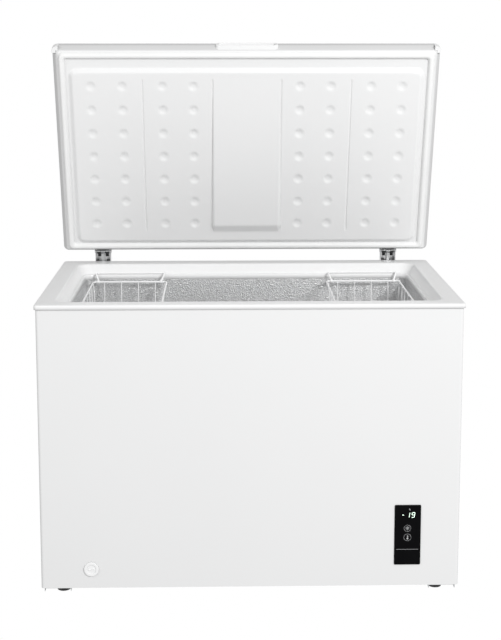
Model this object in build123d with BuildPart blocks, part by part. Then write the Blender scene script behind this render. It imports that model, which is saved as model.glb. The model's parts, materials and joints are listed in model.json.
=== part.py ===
# Chest freezer with its lid open: cabinet, lid on spring hinges, two hanging wire baskets.
# Millimetres. +Z is up, the front faces -Y, z = 0 is the floor.
import os
from math import cos, hypot, radians, sin

from build123d import *

os.makedirs("parts", exist_ok=True)

# Cabinet: overall sizes
rim_width = 1118.0
rim_depth = 652.0
rim_top = 796.0
mid_y = -16.0
shell_bottom = 30.0
sheet = 1.0
fit = 0.1
clear = 0.3

# Collar round the mouth of the tub
rim_overhang = 4.0
rim_height = 12.0
rim_plate = 4.0
rim_nose = 3.5
rim_corner = 10.0
ring_front = 46.0
ring_back = 56.0
ring_side = 50.0
funnel_inset = 14.0
funnel_drop = 28.0
funnel_corner = 34.0
ledge_width = 8.0
lip_inset = 4.0
lip_drop = 14.0
collar_wall = 3.0

# Shell, back panel and base
shell_corner = 8.0
shell_hem = 14.0
panel_flange = 12.0
pan_slot_length = 60.0
pan_slot_width = 8.0
pan_slot_pitch = 22.0
pan_slots = 5

# Tub
liner_sheet = 1.0
liner_floor = 105.0
liner_corner = 14.0
step_width = 245.0
step_height = 230.0

# Compressor compartment in the lower right corner
bay_width = 258.0
bay_height = 244.0
bulkhead_foot = 26.0
vent_width = 228.0
vent_height = 196.0
vent_corner = 6.0
grille_lip = 14.0
grille_slot = 5.0
grille_pitch = 17.0
grille_rows = 9
grille_columns = 3
louvre_width = 230.0
louvre_height = 150.0
louvre_lip = 10.0
louvre_flange = 2.5
louvre_depth = 14.0
louvre_count = 8
louvre_blade = 2.5
screw_radius = 2.0
screw_head_radius = 4.5
screw_head = 2.4
screw_length = 9.0
screw_play = 0.2
gland_radius = 11.0
gland_bore = 4.5
gland_flange = 3.0

# Refrigeration tubes
evaporator_radius = 4.0
evaporator_turns = 5
evaporator_pitch = 82.0
evaporator_first_height = 388.0
condenser_radius = 2.5
condenser_rows = 5
condenser_pitch = 96.0
condenser_first_height = 330.0
condenser_bend = 20.0
tube_play = 0.2
pipe_radius = 4.0
pipe_bend = 18.0

# Compressor
pot_radius = 78.0
pot_height = 168.0
pot_shoulder = 40.0
pot_from_right = 130.0
pot_from_back = 246.0
foot_plate_width = 210.0
foot_plate_depth = 150.0
foot_plate = 3.0
foot_spacing_x = 178.0
foot_spacing_y = 112.0
mount_plate_margin = 36.0
mount_plate = 2.0
grommet_radius = 13.0
grommet_height = 20.0
bolt_radius = 4.0
bolt_head_radius = 8.0
bolt_head = 5.0
stub_length = 14.0
stub_rise = 100.8
cover_width = 64.0
cover_depth = 42.0
cover_height = 70.0
drier_radius = 10.0
drier_length = 96.0
drier_drop = 72.0

# Display
display_width = 70.0
display_height = 165.0
display_corner = 3.0
display_from_right = 103.0
display_from_bottom = 58.0
lens_thickness = 2.2
lens_lip = 4.0
housing_wall = 2.0
housing_depth = 24.0
board_thickness = 1.6
board_margin = 3.0

# Drain
drain_from_left = 133.7
drain_from_bottom = 52.7
drain_radius = 13.0
drain_wall = 1.8
drain_bend = 16.0
drain_set_back = 100.0
cap_radius = 19.5
cap_thickness = 4.6
cap_face_radius = 12.1
cap_grip_angle = 35.0
cap_grip_depth = 1.8
cap_grip_width = 5.0
spigot_length = 12.0
plug_flange = 3.5
plug_flange_radius = 18.0
plug_spigot_length = 5.0

# Feet
rail_width = 70.0
rail_from_edge = 9.0
rail_depth = 9.0
foot_from_edge = 52.0
foot_from_front = 67.0
foot_radius = 18.0
foot_neck_radius = 12.0
foot_pad = 9.0
foot_edge = 4.5
stud_radius = 5.0
bush_radius = 9.0
stud_play = 0.08

# Lid
lid_gap = 10.0
lid_thickness = 44.0
lid_open = 73.7
lid_corner = 15.0
lid_edge_round = 14.0
lid_hem = 11.0
lid_liner_sheet = 3.5
plug_height = 9.5
plug_side = 44.0
plug_front = 64.0
plug_back = 32.0
plug_bevel = 11.0
plug_corner = 25.0
dimple_radius = 15.0
dimple_floor_radius = 9.0
dimple_depth = 2.2
dimple_from_side = (63.5, 154.0, 270.5, 360.0)
dimple_rows = 7
dimple_from_front = 116.0
dimple_from_back = 100.4
groove_width = 5.0
groove_depth = 1.4
groove_from_side = 212.2
groove_from_front = 92.0
groove_from_back = 72.0
wedge_from_side = 418.0
wedge_height = 11.0
wedge_bevel = 24.0
gasket_inset = 17.0
gasket_back_inset = 11.5
gasket_width = 19.0
gasket_base = 2.0
gasket_bulb = 12.0
gasket_play = 0.3
cap_arm = 18.0
cap_wall = 1.6
cap_rise = 26.0
handle_width = 180.0
handle_height = 28.0
handle_proud = 3.0
handle_edge = 1.8
handle_border = 9.0
handle_wall = 2.0
handle_depth = 22.0
handle_corner = 7.0

# Hinges
hinge_from_side = 119.0
pin_behind = 6.7
pin_rise = 19.6
pin_radius = 3.5
pin_play = 0.05
pin_head_radius = 5.5
pin_head = 2.0
hinge_width = 47.0
hinge_plate = 2.5
hinge_side_play = 2.0
cheek_radius = 6.2
channel_depth = 9.1
channel_height = 128.0
ear_radius = 5.4
leaf_plate = 2.0
leaf_low = 13.0
leaf_high = 9.0
rivet_drop = 9.0
rivet_head_radius = 3.2
rivet_head = 1.2
flange_width = 18.0
flange_height = 74.0
flange_screw_pitch = 44.0
backing_plate = 3.0
cam_width = 12.0
cam_low = 6.0
cam_high = 12.5
cam_play = 0.8
cam_low_angle = 270.0
cam_steps = 6
plunger_stem = 3.6
plunger_flange = 5.4
plunger_flange_height = 3.0
plunger_blade = 0.6
plunger_blade_length = 22.0
spring_wall = 1.4
spring_play = 0.2

# Baskets
basket_width = 225.0
basket_height = 215.0
basket_side_gap = 20.5
basket_end_gap = 26.5
basket_top = 751.0
basket_taper = 12.0
frame_wire = 2.75
frame_bend = 10.0
grid_wire = 1.5
grid_bend = 12.0
wire_touch = 0.05
long_wires = 4
long_from_side = 36.6
cross_wires = 7
cross_from_end = 42.5
hoop_drop = 108.0
bail_wire = 2.5
bail_eye_from_side = 18.5
bail_from_side = 10.5
bail_crank = 17.0
bail_bend = 9.0
eye_length = 7.0
eye_wall = 2.4
eye_play = 0.08

# Derived places
rim_front = mid_y - rim_depth / 2
rim_back = mid_y + rim_depth / 2
shell_width = rim_width - 2 * rim_overhang
shell_depth = rim_depth - 2 * rim_overhang
shell_front = mid_y - shell_depth / 2
shell_back = mid_y + shell_depth / 2
shell_right = shell_width / 2
shell_top = rim_top - rim_plate - fit
inside_x = shell_right - sheet
inside_front = shell_front + sheet
inside_back = shell_back - sheet
ledge_top = rim_top - funnel_drop
lip_bottom = ledge_top - lip_drop
ring = (ring_front, ring_back, ring_side)
mouth = tuple(inset + funnel_inset for inset in ring)
throat = tuple(inset + ledge_width for inset in mouth)
tub = tuple(inset + lip_inset for inset in throat)
tub_front = rim_front + tub[0]
tub_back = rim_back - tub[1]
tub_x = rim_width / 2 - tub[2]
step_x = tub_x - step_width
step_top = liner_floor + step_height
pan_bottom = shell_bottom + sheet + fit
pan_top = pan_bottom + sheet
bay_x = inside_x - bay_width
bay_top = pan_top + bay_height
bay_mid_x = (bay_x + inside_x) / 2
vent_z = pan_top + bay_height / 2
pivot_y = rim_back + pin_behind
pivot_z = rim_top + lid_gap + pin_rise
display_x = shell_right - display_from_right - display_width / 2
display_z = shell_bottom + display_from_bottom + display_height / 2
drain_x = drain_from_left - shell_right
drain_z = shell_bottom + drain_from_bottom
drain_y = shell_front + drain_set_back
drain_bore = drain_radius - drain_wall
pot_x = shell_right - pot_from_right
pot_y = shell_back - pot_from_back
pot_base = pan_top + mount_plate + grommet_height + foot_plate
evaporator_gap = 2 * evaporator_radius + 2 * tube_play
condenser_gap = 2 * condenser_radius + 2 * tube_play
front_face = Plane.XZ.offset(-shell_front)
back_face = Plane.XZ.offset(-shell_back)
right_face = Plane.YZ.offset(shell_right)
sides = ((-1, "left"), (1, "right"))
hinge_x = rim_width / 2 - hinge_from_side
ear_x = hinge_width / 2 - hinge_plate - hinge_side_play
rivet_x = (ear_x - hinge_plate + cam_width / 2) / 2
rivet_spots = [(side * hinge_x + across * rivet_x, rivet_drop) for side, _ in sides for across in (-1, 1)]

plug_x = rim_width / 2 - plug_side
dimple_columns = [plug_x - inset for inset in dimple_from_side]
dimple_pitch = (rim_depth - dimple_from_front - dimple_from_back) / (dimple_rows - 1)
groove_x = plug_x - groove_from_side
groove_end = rim_depth - groove_from_back
wedge_half_width = plug_x - wedge_from_side
basket_depth = tub_back - tub_front - 2 * basket_end_gap
basket_x = tub_x - basket_side_gap - basket_width / 2
long_pitch = (basket_width - 2 * long_from_side) / (long_wires - 1)
cross_pitch = (basket_depth - 2 * cross_from_end) / (cross_wires - 1)
bail_eye_x = basket_width / 2 - bail_eye_from_side
bail_half_width = basket_width / 2 - bail_from_side

# The lid's own frame: X across, Y towards its back edge, Z towards its outer face,
# with the origin on the back edge of the inner plane.
hinge_frame = Plane(
    origin=(0, pivot_y, pivot_z),
    x_dir=(1, 0, 0),
    z_dir=(0, sin(radians(lid_open)), cos(radians(lid_open))),
)
lid_frame = Plane(hinge_frame.location * Location((0, -pin_behind, -pin_rise)))
lid_back = Plane(hinge_frame.location * Location((0, -pin_behind, 0), (-90, 0, 0)))


def save(part, name):
    """Label a finished piece and write its file."""
    part.label = name
    export_step(part, f"parts/{name}.step")


def inset_rectangle(insets, radius):
    """Rounded rectangle inside the rim's outline, by its front, back and side insets."""
    front, back, side = insets
    with Locations((0, mid_y + (front - back) / 2)):
        RectangleRounded(rim_width - 2 * side, rim_depth - front - back, radius)


def grown(insets, amount):
    """The same insets with every side moved outwards."""
    return tuple(inset - amount for inset in insets)


def lid_rectangle(front, back, side, radius):
    """Rounded rectangle inside the lid's outline, in the lid's own frame."""
    with Locations((0, -rim_depth / 2 + (front - back) / 2)):
        RectangleRounded(rim_width - 2 * side, rim_depth - front - back, radius)


def wire(points, bend, radius, close=False):
    """Round bar along straight runs with tangent bends, added to the current part."""
    with BuildLine() as route:
        if len(points) == 2:
            Line(*points)
        else:
            FilletPolyline(*points, radius=bend, close=close)
    with BuildSketch(Plane(origin=route.line @ 0, z_dir=route.line % 0)) as section:
        Circle(radius)
    sweep(sections=section.sketch, path=route.line)


# Outer shell: front and sides in one bent sheet, with a hem under the bottom edge
with BuildPart() as outer_shell:
    with BuildSketch(Plane.XY.offset(shell_bottom)) as outline:
        with Locations((0, mid_y)):
            Rectangle(shell_width, shell_depth)
        fillet(outline.vertices().group_by(Axis.Y)[0], shell_corner)
    extrude(amount=shell_top - shell_bottom)
    with BuildSketch(Plane.XY.offset(shell_bottom + sheet)) as hollow:
        with Locations((0, mid_y + sheet)):
            Rectangle(2 * inside_x, shell_depth)
        fillet(hollow.vertices().group_by(Axis.Y)[0], shell_corner - sheet)
    extrude(amount=shell_top - shell_bottom, mode=Mode.SUBTRACT)
    with BuildSketch(Plane.XY.offset(shell_bottom)):
        with Locations((0, mid_y + shell_hem)):
            Rectangle(shell_width - 2 * shell_hem, shell_depth)
    extrude(amount=sheet, mode=Mode.SUBTRACT)
    with BuildSketch(front_face):
        with Locations((display_x, display_z)):
            Rectangle(display_width - 2 * lens_lip, display_height - 2 * lens_lip)
        with Locations((drain_x, drain_z)):
            Circle(drain_radius + fit)
    extrude(amount=-sheet, mode=Mode.SUBTRACT)
    with BuildSketch(right_face):
        with Locations((mid_y, vent_z)):
            Rectangle(louvre_width, louvre_height)
    extrude(amount=-sheet, mode=Mode.SUBTRACT)
save(outer_shell.part, "outer_shell")

# Screw places on the back: hinge flanges and the four corners of the rear grille
hinge_flange_x = (hinge_width + flange_width) / 2
hinge_flange_z = pivot_z - channel_height + flange_height / 2
hinge_spots = [
    (side * hinge_x + across * hinge_flange_x, hinge_flange_z + rise * flange_screw_pitch / 2)
    for side, _ in sides
    for across in (-1, 1)
    for rise in (-1, 1)
]
grille_width = vent_width + 2 * grille_lip
grille_height = vent_height + 2 * grille_lip
grille_spots = [
    (bay_mid_x + across * (vent_width + grille_lip) / 2, vent_z + rise * (vent_height + grille_lip) / 2)
    for across in (-1, 1)
    for rise in (-1, 1)
]

# Back panel, a sheet with side flanges that tucks between the shell's sides
with BuildPart() as back_panel:
    panel_width = 2 * (inside_x - fit)
    panel_height = shell_top - pan_bottom
    with BuildSketch(back_face):
        with Locations((0, pan_bottom + panel_height / 2)):
            Rectangle(panel_width, panel_height)
        with Locations((bay_mid_x, vent_z)):
            RectangleRounded(vent_width, vent_height, vent_corner, mode=Mode.SUBTRACT)
        with Locations(*hinge_spots, *grille_spots):
            Circle(screw_radius + screw_play, mode=Mode.SUBTRACT)
    extrude(amount=sheet)
    for side, _ in sides:
        with BuildSketch(Plane.XY.offset(pan_top + fit)):
            with Locations((side * (panel_width - sheet) / 2, inside_back - panel_flange / 2)):
                Rectangle(sheet, panel_flange)
        extrude(amount=shell_top - pan_top - fit)
save(back_panel.part, "back_panel")

# Base pan with air slots under the compressor
with BuildPart() as base_pan:
    with BuildSketch(Plane.XY.offset(pan_bottom)) as pan_outline:
        with Locations((0, (inside_front + inside_back) / 2)):
            Rectangle(2 * (inside_x - fit), inside_back - inside_front - 2 * fit)
        fillet(pan_outline.vertices().group_by(Axis.Y)[0], shell_corner)
        with Locations((bay_mid_x, inside_front + bay_width / 2)):
            with GridLocations(pan_slot_length + pan_slot_pitch, pan_slot_pitch, 2, pan_slots):
                SlotOverall(pan_slot_length, pan_slot_width, mode=Mode.SUBTRACT)
    extrude(amount=sheet)
save(base_pan.part, "base_pan")

# Rails under the left and right ends, each with two threaded bushes for the feet
foot_x = shell_right - foot_from_edge
foot_front = shell_front + foot_from_front
foot_back = shell_back - foot_from_front
rail_x = shell_right - rail_from_edge - rail_width / 2
with BuildPart() as foot_rails:
    for side, _ in sides:
        with BuildSketch(Plane.XZ.offset(-inside_front)):
            with Locations((side * rail_x, shell_bottom - rail_depth / 2)):
                Rectangle(rail_width, rail_depth)
            with Locations((side * rail_x, shell_bottom - (rail_depth + sheet) / 2)):
                Rectangle(rail_width - 2 * sheet, rail_depth - sheet, mode=Mode.SUBTRACT)
        extrude(amount=inside_front - inside_back)
    with BuildSketch(Plane.XY.offset(shell_bottom - rail_depth)):
        with Locations(*[(side * foot_x, y) for side, _ in sides for y in (foot_front, foot_back)]):
            Circle(bush_radius)
    extrude(amount=rail_depth)
    with BuildSketch(Plane.XY.offset(shell_bottom - rail_depth)):
        with Locations(*[(side * foot_x, y) for side, _ in sides for y in (foot_front, foot_back)]):
            Circle(stud_radius + stud_play)
    extrude(amount=rail_depth, mode=Mode.SUBTRACT)
save(foot_rails.part, "foot_rails")

# Four levelling feet: pad, neck and stud turned in one
for y, place in ((foot_front, "front"), (foot_back, "back")):
    for side, hand in sides:
        with BuildPart() as foot:
            with BuildSketch(Plane.XZ):
                with BuildLine():
                    Polyline(
                        (0, 0),
                        (foot_radius, 0),
                        (foot_radius, foot_edge),
                        (foot_neck_radius, foot_pad),
                        (foot_neck_radius, shell_bottom - rail_depth - clear),
                        (stud_radius, shell_bottom - rail_depth - clear),
                        (stud_radius, shell_bottom - sheet),
                        (0, shell_bottom - sheet),
                        close=True,
                    )
                make_face()
            revolve(axis=Axis.Z)
        save(foot.part.moved(Location((side * foot_x, y, 0))), f"foot_{place}_{hand}")

# Bulkhead between the foam and the compressor bay
with BuildPart() as bulkhead:
    with BuildSketch(Plane.XZ.offset(-(inside_front + shell_corner))):
        with BuildLine():
            Polyline(
                (bay_x - bulkhead_foot, pan_top),
                (bay_x, pan_top),
                (bay_x, bay_top - sheet),
                (inside_x - fit, bay_top - sheet),
                (inside_x - fit, bay_top),
                (bay_x - sheet, bay_top),
                (bay_x - sheet, pan_top + sheet),
                (bay_x - bulkhead_foot, pan_top + sheet),
                close=True,
            )
        make_face()
    extrude(amount=-(inside_back - inside_front - shell_corner - panel_flange - fit))
save(bulkhead.part, "compartment_bulkhead")

# Tub of pebbled sheet, stepped over the compressor bay
with BuildPart() as tub_form:
    with BuildSketch(Plane.XZ.offset(-(tub_front - liner_sheet))):
        with BuildLine():
            Polyline(
                (-tub_x - liner_sheet, lip_bottom),
                (-tub_x - liner_sheet, liner_floor - liner_sheet),
                (step_x + liner_sheet, liner_floor - liner_sheet),
                (step_x + liner_sheet, step_top - liner_sheet),
                (tub_x + liner_sheet, step_top - liner_sheet),
                (tub_x + liner_sheet, lip_bottom),
                close=True,
            )
        make_face()
    extrude(amount=-(tub_back - tub_front + 2 * liner_sheet))
    fillet(tub_form.edges().filter_by(Axis.Z), liner_corner)
    offset(amount=-liner_sheet, openings=tub_form.faces().sort_by(Axis.Z)[-1], kind=Kind.INTERSECTION)
    with BuildSketch(Plane.XY.offset(liner_floor - liner_sheet)):
        with Locations((drain_x, drain_y)):
            Circle(drain_radius + fit)
    extrude(amount=liner_sheet, mode=Mode.SUBTRACT)
with BuildPart() as floor_sheet:
    with BuildSketch(Plane.XZ.offset(-(tub_front - liner_sheet))):
        with BuildLine():
            Polyline(
                (-tub_x - liner_sheet, liner_floor - liner_sheet),
                (step_x + liner_sheet, liner_floor - liner_sheet),
                (step_x + liner_sheet, step_top - liner_sheet),
                (tub_x + liner_sheet, step_top - liner_sheet),
                (tub_x + liner_sheet, step_top),
                (step_x, step_top),
                (step_x, liner_floor),
                (-tub_x - liner_sheet, liner_floor),
                close=True,
            )
        make_face()
    extrude(amount=-(tub_back - tub_front + 2 * liner_sheet))
with BuildPart() as inner_liner:
    add(tub_form.part)
    add(floor_sheet.part, mode=Mode.SUBTRACT)
save(inner_liner.part, "inner_liner")
with BuildPart() as tub_floor:
    add(tub_form.part)
    add(floor_sheet.part, mode=Mode.INTERSECT)
save(tub_floor.part, "tub_floor")

# Collar: bullnosed ring, funnel, ledge for the basket bails, and a lip over the tub's edge
with BuildPart() as top_collar:
    with BuildSketch(Plane.XY.offset(rim_top - rim_height)):
        inset_rectangle((0, 0, 0), rim_corner)
    extrude(amount=rim_height)
    fillet(top_collar.faces().sort_by(Axis.Z)[-1].edges(), rim_nose)
    with BuildSketch(Plane.XY.offset(rim_top - rim_height)):
        with Locations((0, mid_y)):
            Rectangle(shell_width + 2 * fit, shell_depth + 2 * fit)
    extrude(amount=rim_height - rim_plate, mode=Mode.SUBTRACT)
    with BuildSketch(Plane.XY.offset(rim_top - rim_plate)):
        inset_rectangle(grown(ring, collar_wall), funnel_corner + collar_wall)
    with BuildSketch(Plane.XY.offset(ledge_top - collar_wall)):
        inset_rectangle(grown(mouth, collar_wall), funnel_corner + collar_wall)
    loft()
    with BuildSketch(Plane.XY.offset(lip_bottom)):
        inset_rectangle(grown(tub, collar_wall), funnel_corner)
    with BuildSketch(Plane.XY.offset(ledge_top - collar_wall)):
        inset_rectangle(grown(throat, collar_wall), funnel_corner)
    loft()
    with BuildSketch(Plane.XY.offset(ledge_top)):
        inset_rectangle(mouth, funnel_corner)
    with BuildSketch(Plane.XY.offset(rim_top)):
        inset_rectangle(ring, funnel_corner)
    loft(mode=Mode.SUBTRACT)
    with BuildSketch(Plane.XY.offset(lip_bottom)):
        inset_rectangle(tub, funnel_corner - collar_wall)
    with BuildSketch(Plane.XY.offset(ledge_top)):
        inset_rectangle(throat, funnel_corner - collar_wall)
    loft(mode=Mode.SUBTRACT)
save(top_collar.part, "top_collar")

# Insulation: fills the walls, leaving room for the tubes, the drain and the compressor bay
foam_x = inside_x - condenser_gap
foam_front = inside_front + condenser_gap
foam_back = inside_back - backing_plate - fit
with BuildPart() as foam:
    with BuildSketch(Plane.XY.offset(pan_top)) as foam_outline:
        with Locations((0, (foam_front + foam_back) / 2)):
            Rectangle(2 * foam_x, foam_back - foam_front)
        fillet(
            foam_outline.vertices().group_by(Axis.Y)[0],
            condenser_bend - condenser_radius - tube_play,
        )
    extrude(amount=rim_top - rim_plate - pan_top)
    with BuildSketch(Plane.XY.offset(lip_bottom - collar_wall)):
        inset_rectangle(grown(ring, 2 * collar_wall), funnel_corner)
    extrude(amount=rim_top, mode=Mode.SUBTRACT)
    with BuildSketch(Plane.XY.offset(step_top - liner_sheet)):
        inset_rectangle(grown(tub, liner_sheet + evaporator_gap), liner_corner)
    extrude(amount=rim_top, mode=Mode.SUBTRACT)
    with BuildSketch(Plane.XZ.offset(-(tub_front - liner_sheet))):
        with Locations(((step_x + liner_sheet - tub_x - liner_sheet) / 2, step_top - liner_sheet)):
            Rectangle(
                step_x + tub_x + 2 * liner_sheet,
                2 * step_height,
            )
    extrude(amount=-(tub_back - tub_front + 2 * liner_sheet), mode=Mode.SUBTRACT)
    with BuildSketch(Plane.XZ.offset(-foam_front)):
        with Locations((inside_x, pan_top)):
            Rectangle(2 * (bay_width + sheet), 2 * bay_height)
        with Locations((bay_x - bulkhead_foot, pan_top)):
            Rectangle(2 * bulkhead_foot, 2 * sheet)
    extrude(amount=foam_front - foam_back, mode=Mode.SUBTRACT)
    with BuildSketch(Plane.XZ.offset(-foam_front)):
        with Locations((drain_x, drain_z)):
            Rectangle(2 * drain_radius + 2 * fit, 2 * (liner_floor - drain_z))
    extrude(amount=foam_front - drain_y - drain_radius - fit, mode=Mode.SUBTRACT)
save(foam.part, "insulation_foam")

# Evaporator: one tube wound round the tub, climbing along the back
evaporator_out = liner_sheet + evaporator_radius + tube_play
coil_x = tub_x + evaporator_out
coil_front = tub_front - evaporator_out
coil_back = tub_back + evaporator_out
with BuildPart() as evaporator:
    route = [(0, coil_back, evaporator_first_height)]
    for turn in range(evaporator_turns):
        z = evaporator_first_height + turn * evaporator_pitch
        route += [
            (-coil_x, coil_back, z),
            (-coil_x, coil_front, z),
            (coil_x, coil_front, z),
            (coil_x, coil_back, z),
        ]
    route.append((0, coil_back, evaporator_first_height + (evaporator_turns - 1) * evaporator_pitch))
    wire(route, liner_corner - evaporator_gap / 2, evaporator_radius)
save(evaporator.part, "evaporator_coil")

# Condenser: one tube to and fro over the inside of the right, front and left walls
skin_x = inside_x - condenser_radius - tube_play
skin_front = inside_front + condenser_radius + tube_play
skin_back = inside_back - 2 * panel_flange
with BuildPart() as condenser:
    route = []
    for row in range(condenser_rows):
        z = condenser_first_height + row * condenser_pitch
        hand = 1 if row % 2 == 0 else -1
        route += [
            (hand * skin_x, skin_back, z),
            (hand * skin_x, skin_front, z),
            (-hand * skin_x, skin_front, z),
            (-hand * skin_x, skin_back, z),
        ]
    wire(route, condenser_bend, condenser_radius)
save(condenser.part, "condenser_coil")

# Compressor: welded pot on a foot plate, with three tube stubs
feet_spots = [
    (pot_x + across * foot_spacing_x / 2, pot_y + along * foot_spacing_y / 2)
    for across in (-1, 1)
    for along in (-1, 1)
]
stub_z = pot_base + stub_rise
pot_stubs = ((-1, 0), (0, -1), (1, 0))
with BuildPart() as compressor:
    with BuildSketch(Plane.XZ):
        with BuildLine():
            Line((0, 0), (pot_radius - pot_shoulder, 0))
            JernArc((pot_radius - pot_shoulder, 0), (1, 0), pot_shoulder, 90)
            Line((pot_radius, pot_shoulder), (pot_radius, pot_height - pot_shoulder))
            JernArc((pot_radius, pot_height - pot_shoulder), (0, 1), pot_shoulder, 90)
            Line((pot_radius - pot_shoulder, pot_height), (0, pot_height))
            Line((0, pot_height), (0, 0))
        make_face()
    revolve(axis=Axis.Z)
    with BuildSketch(Plane.XY.offset(-foot_plate)):
        RectangleRounded(foot_plate_width, foot_plate_depth, grommet_radius)
        with GridLocations(foot_spacing_x, foot_spacing_y, 2, 2):
            Circle(bolt_radius + fit, mode=Mode.SUBTRACT)
    extrude(amount=foot_plate)
    for across, along in pot_stubs:
        with BuildSketch(Plane(origin=(0, 0, stub_z - pot_base), z_dir=(across, along, 0))):
            Circle(pipe_radius + sheet)
        extrude(amount=pot_radius + stub_length)
save(compressor.part.moved(Location((pot_x, pot_y, pot_base))), "compressor")

# Plate, rubber grommets and bolts that carry the compressor
with BuildPart() as mount_base:
    with BuildSketch(Plane.XY.offset(pan_top)):
        with Locations((pot_x, pot_y)):
            Rectangle(foot_spacing_x + 2 * mount_plate_margin, foot_spacing_y + 2 * mount_plate_margin)
        with Locations(*feet_spots):
            Circle(bolt_radius + fit, mode=Mode.SUBTRACT)
    extrude(amount=mount_plate)
save(mount_base.part, "compressor_plate")

with BuildPart() as grommets:
    with BuildSketch(Plane.XY.offset(pan_top + mount_plate)):
        with Locations(*feet_spots):
            Circle(grommet_radius)
            Circle(bolt_radius + fit, mode=Mode.SUBTRACT)
    extrude(amount=grommet_height)
save(grommets.part, "compressor_grommets")

with BuildPart() as bolts:
    with BuildSketch(Plane.XY.offset(pan_top)):
        with Locations(*feet_spots):
            Circle(bolt_radius)
    extrude(amount=pot_base - pan_top)
    with BuildSketch(Plane.XY.offset(pot_base)):
        with Locations(*feet_spots):
            RegularPolygon(bolt_head_radius, 6)
    extrude(amount=bolt_head)
save(bolts.part, "compressor_bolts")

with BuildPart() as terminal_cover:
    with BuildSketch(Plane.XY.offset(pot_base + pot_shoulder)):
        with Locations((pot_x, pot_y + pot_radius + cover_depth / 2 - pot_shoulder / 2)):
            Rectangle(cover_width, cover_depth)
        with Locations((pot_x, pot_y)):
            Circle(pot_radius + fit, mode=Mode.SUBTRACT)
    extrude(amount=cover_height)
save(terminal_cover.part, "terminal_cover")

# Filter drier on its pipe, and the suction and discharge pipes
drier_x = bay_x + bay_width / 6
drier_y = pot_y + pot_radius + 2 * cover_depth
drier_z = bay_top - drier_length - drier_drop
with BuildPart() as drier:
    with BuildSketch(Plane.XZ):
        with BuildLine():
            Line((0, 0), (pipe_radius, 0))
            Line((pipe_radius, 0), (drier_radius, drier_radius))
            Line((drier_radius, drier_radius), (drier_radius, drier_length - drier_radius))
            Line((drier_radius, drier_length - drier_radius), (pipe_radius, drier_length))
            Line((pipe_radius, drier_length), (0, drier_length))
            Line((0, drier_length), (0, 0))
        make_face()
    revolve(axis=Axis.Z)
save(drier.part.moved(Location((drier_x, drier_y, drier_z))), "filter_drier")

bay_ceiling = bay_top - sheet
with BuildPart() as pipes:
    reach = pot_radius + stub_length
    wire([(drier_x, drier_y, drier_z + drier_length), (drier_x, drier_y, bay_ceiling)], 0, pipe_radius)
    wire(
        [
            (pot_x - reach, pot_y, stub_z),
            (bay_x + pipe_bend, pot_y, stub_z),
            (bay_x + pipe_bend, pot_y, bay_ceiling),
        ],
        pipe_bend,
        pipe_radius,
    )
    wire(
        [
            (pot_x, pot_y - reach, stub_z),
            (pot_x, pot_y - reach - 2 * pipe_bend, stub_z),
            (pot_x, pot_y - reach - 2 * pipe_bend, bay_ceiling),
        ],
        pipe_bend,
        pipe_radius,
    )
save(pipes.part, "refrigerant_pipes")

# Rear grille over the bay: slotted sheet held by four screws
gland_x = bay_mid_x - vent_width / 2 + 2 * gland_radius
gland_z = vent_z - vent_height / 2 + gland_radius
slot_width = (vent_width - (grille_columns + 1) * grille_lip) / grille_columns
with BuildPart() as rear_grille:
    with BuildSketch(back_face):
        with Locations((bay_mid_x, vent_z)):
            RectangleRounded(grille_width, grille_height, vent_corner)
        with Locations(*grille_spots):
            Circle(screw_radius + screw_play, mode=Mode.SUBTRACT)
        with Locations((gland_x, gland_z)):
            Circle(gland_radius - gland_flange, mode=Mode.SUBTRACT)
        with Locations((bay_mid_x, vent_z + grille_lip)):
            with GridLocations(
                slot_width + grille_lip, grille_pitch, grille_columns, grille_rows
            ):
                SlotOverall(slot_width, grille_slot, mode=Mode.SUBTRACT)
    extrude(amount=-sheet)
save(rear_grille.part, "rear_grille")

with BuildPart() as grille_screws:
    with BuildSketch(Plane.XZ.offset(-(shell_back + sheet))):
        with Locations(*grille_spots):
            Circle(screw_radius)
    extrude(amount=screw_length)
    with BuildSketch(Plane.XZ.offset(-(shell_back + sheet))):
        with Locations(*grille_spots):
            Circle(screw_head_radius)
    extrude(amount=-screw_head)
save(grille_screws.part, "rear_grille_screws")

# Grommet for the mains lead, in the grille's lower corner
with BuildPart() as gland:
    with BuildSketch(Plane.XZ.offset(-(shell_back + sheet))):
        with Locations((gland_x, gland_z)):
            Circle(gland_radius)
            Circle(gland_bore, mode=Mode.SUBTRACT)
    extrude(amount=-gland_flange)
    with BuildSketch(Plane.XZ.offset(-(shell_back + sheet))):
        with Locations((gland_x, gland_z)):
            Circle(gland_radius - gland_flange - fit)
            Circle(gland_bore, mode=Mode.SUBTRACT)
    extrude(amount=gland_flange)
save(gland.part, "cord_gland")

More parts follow.
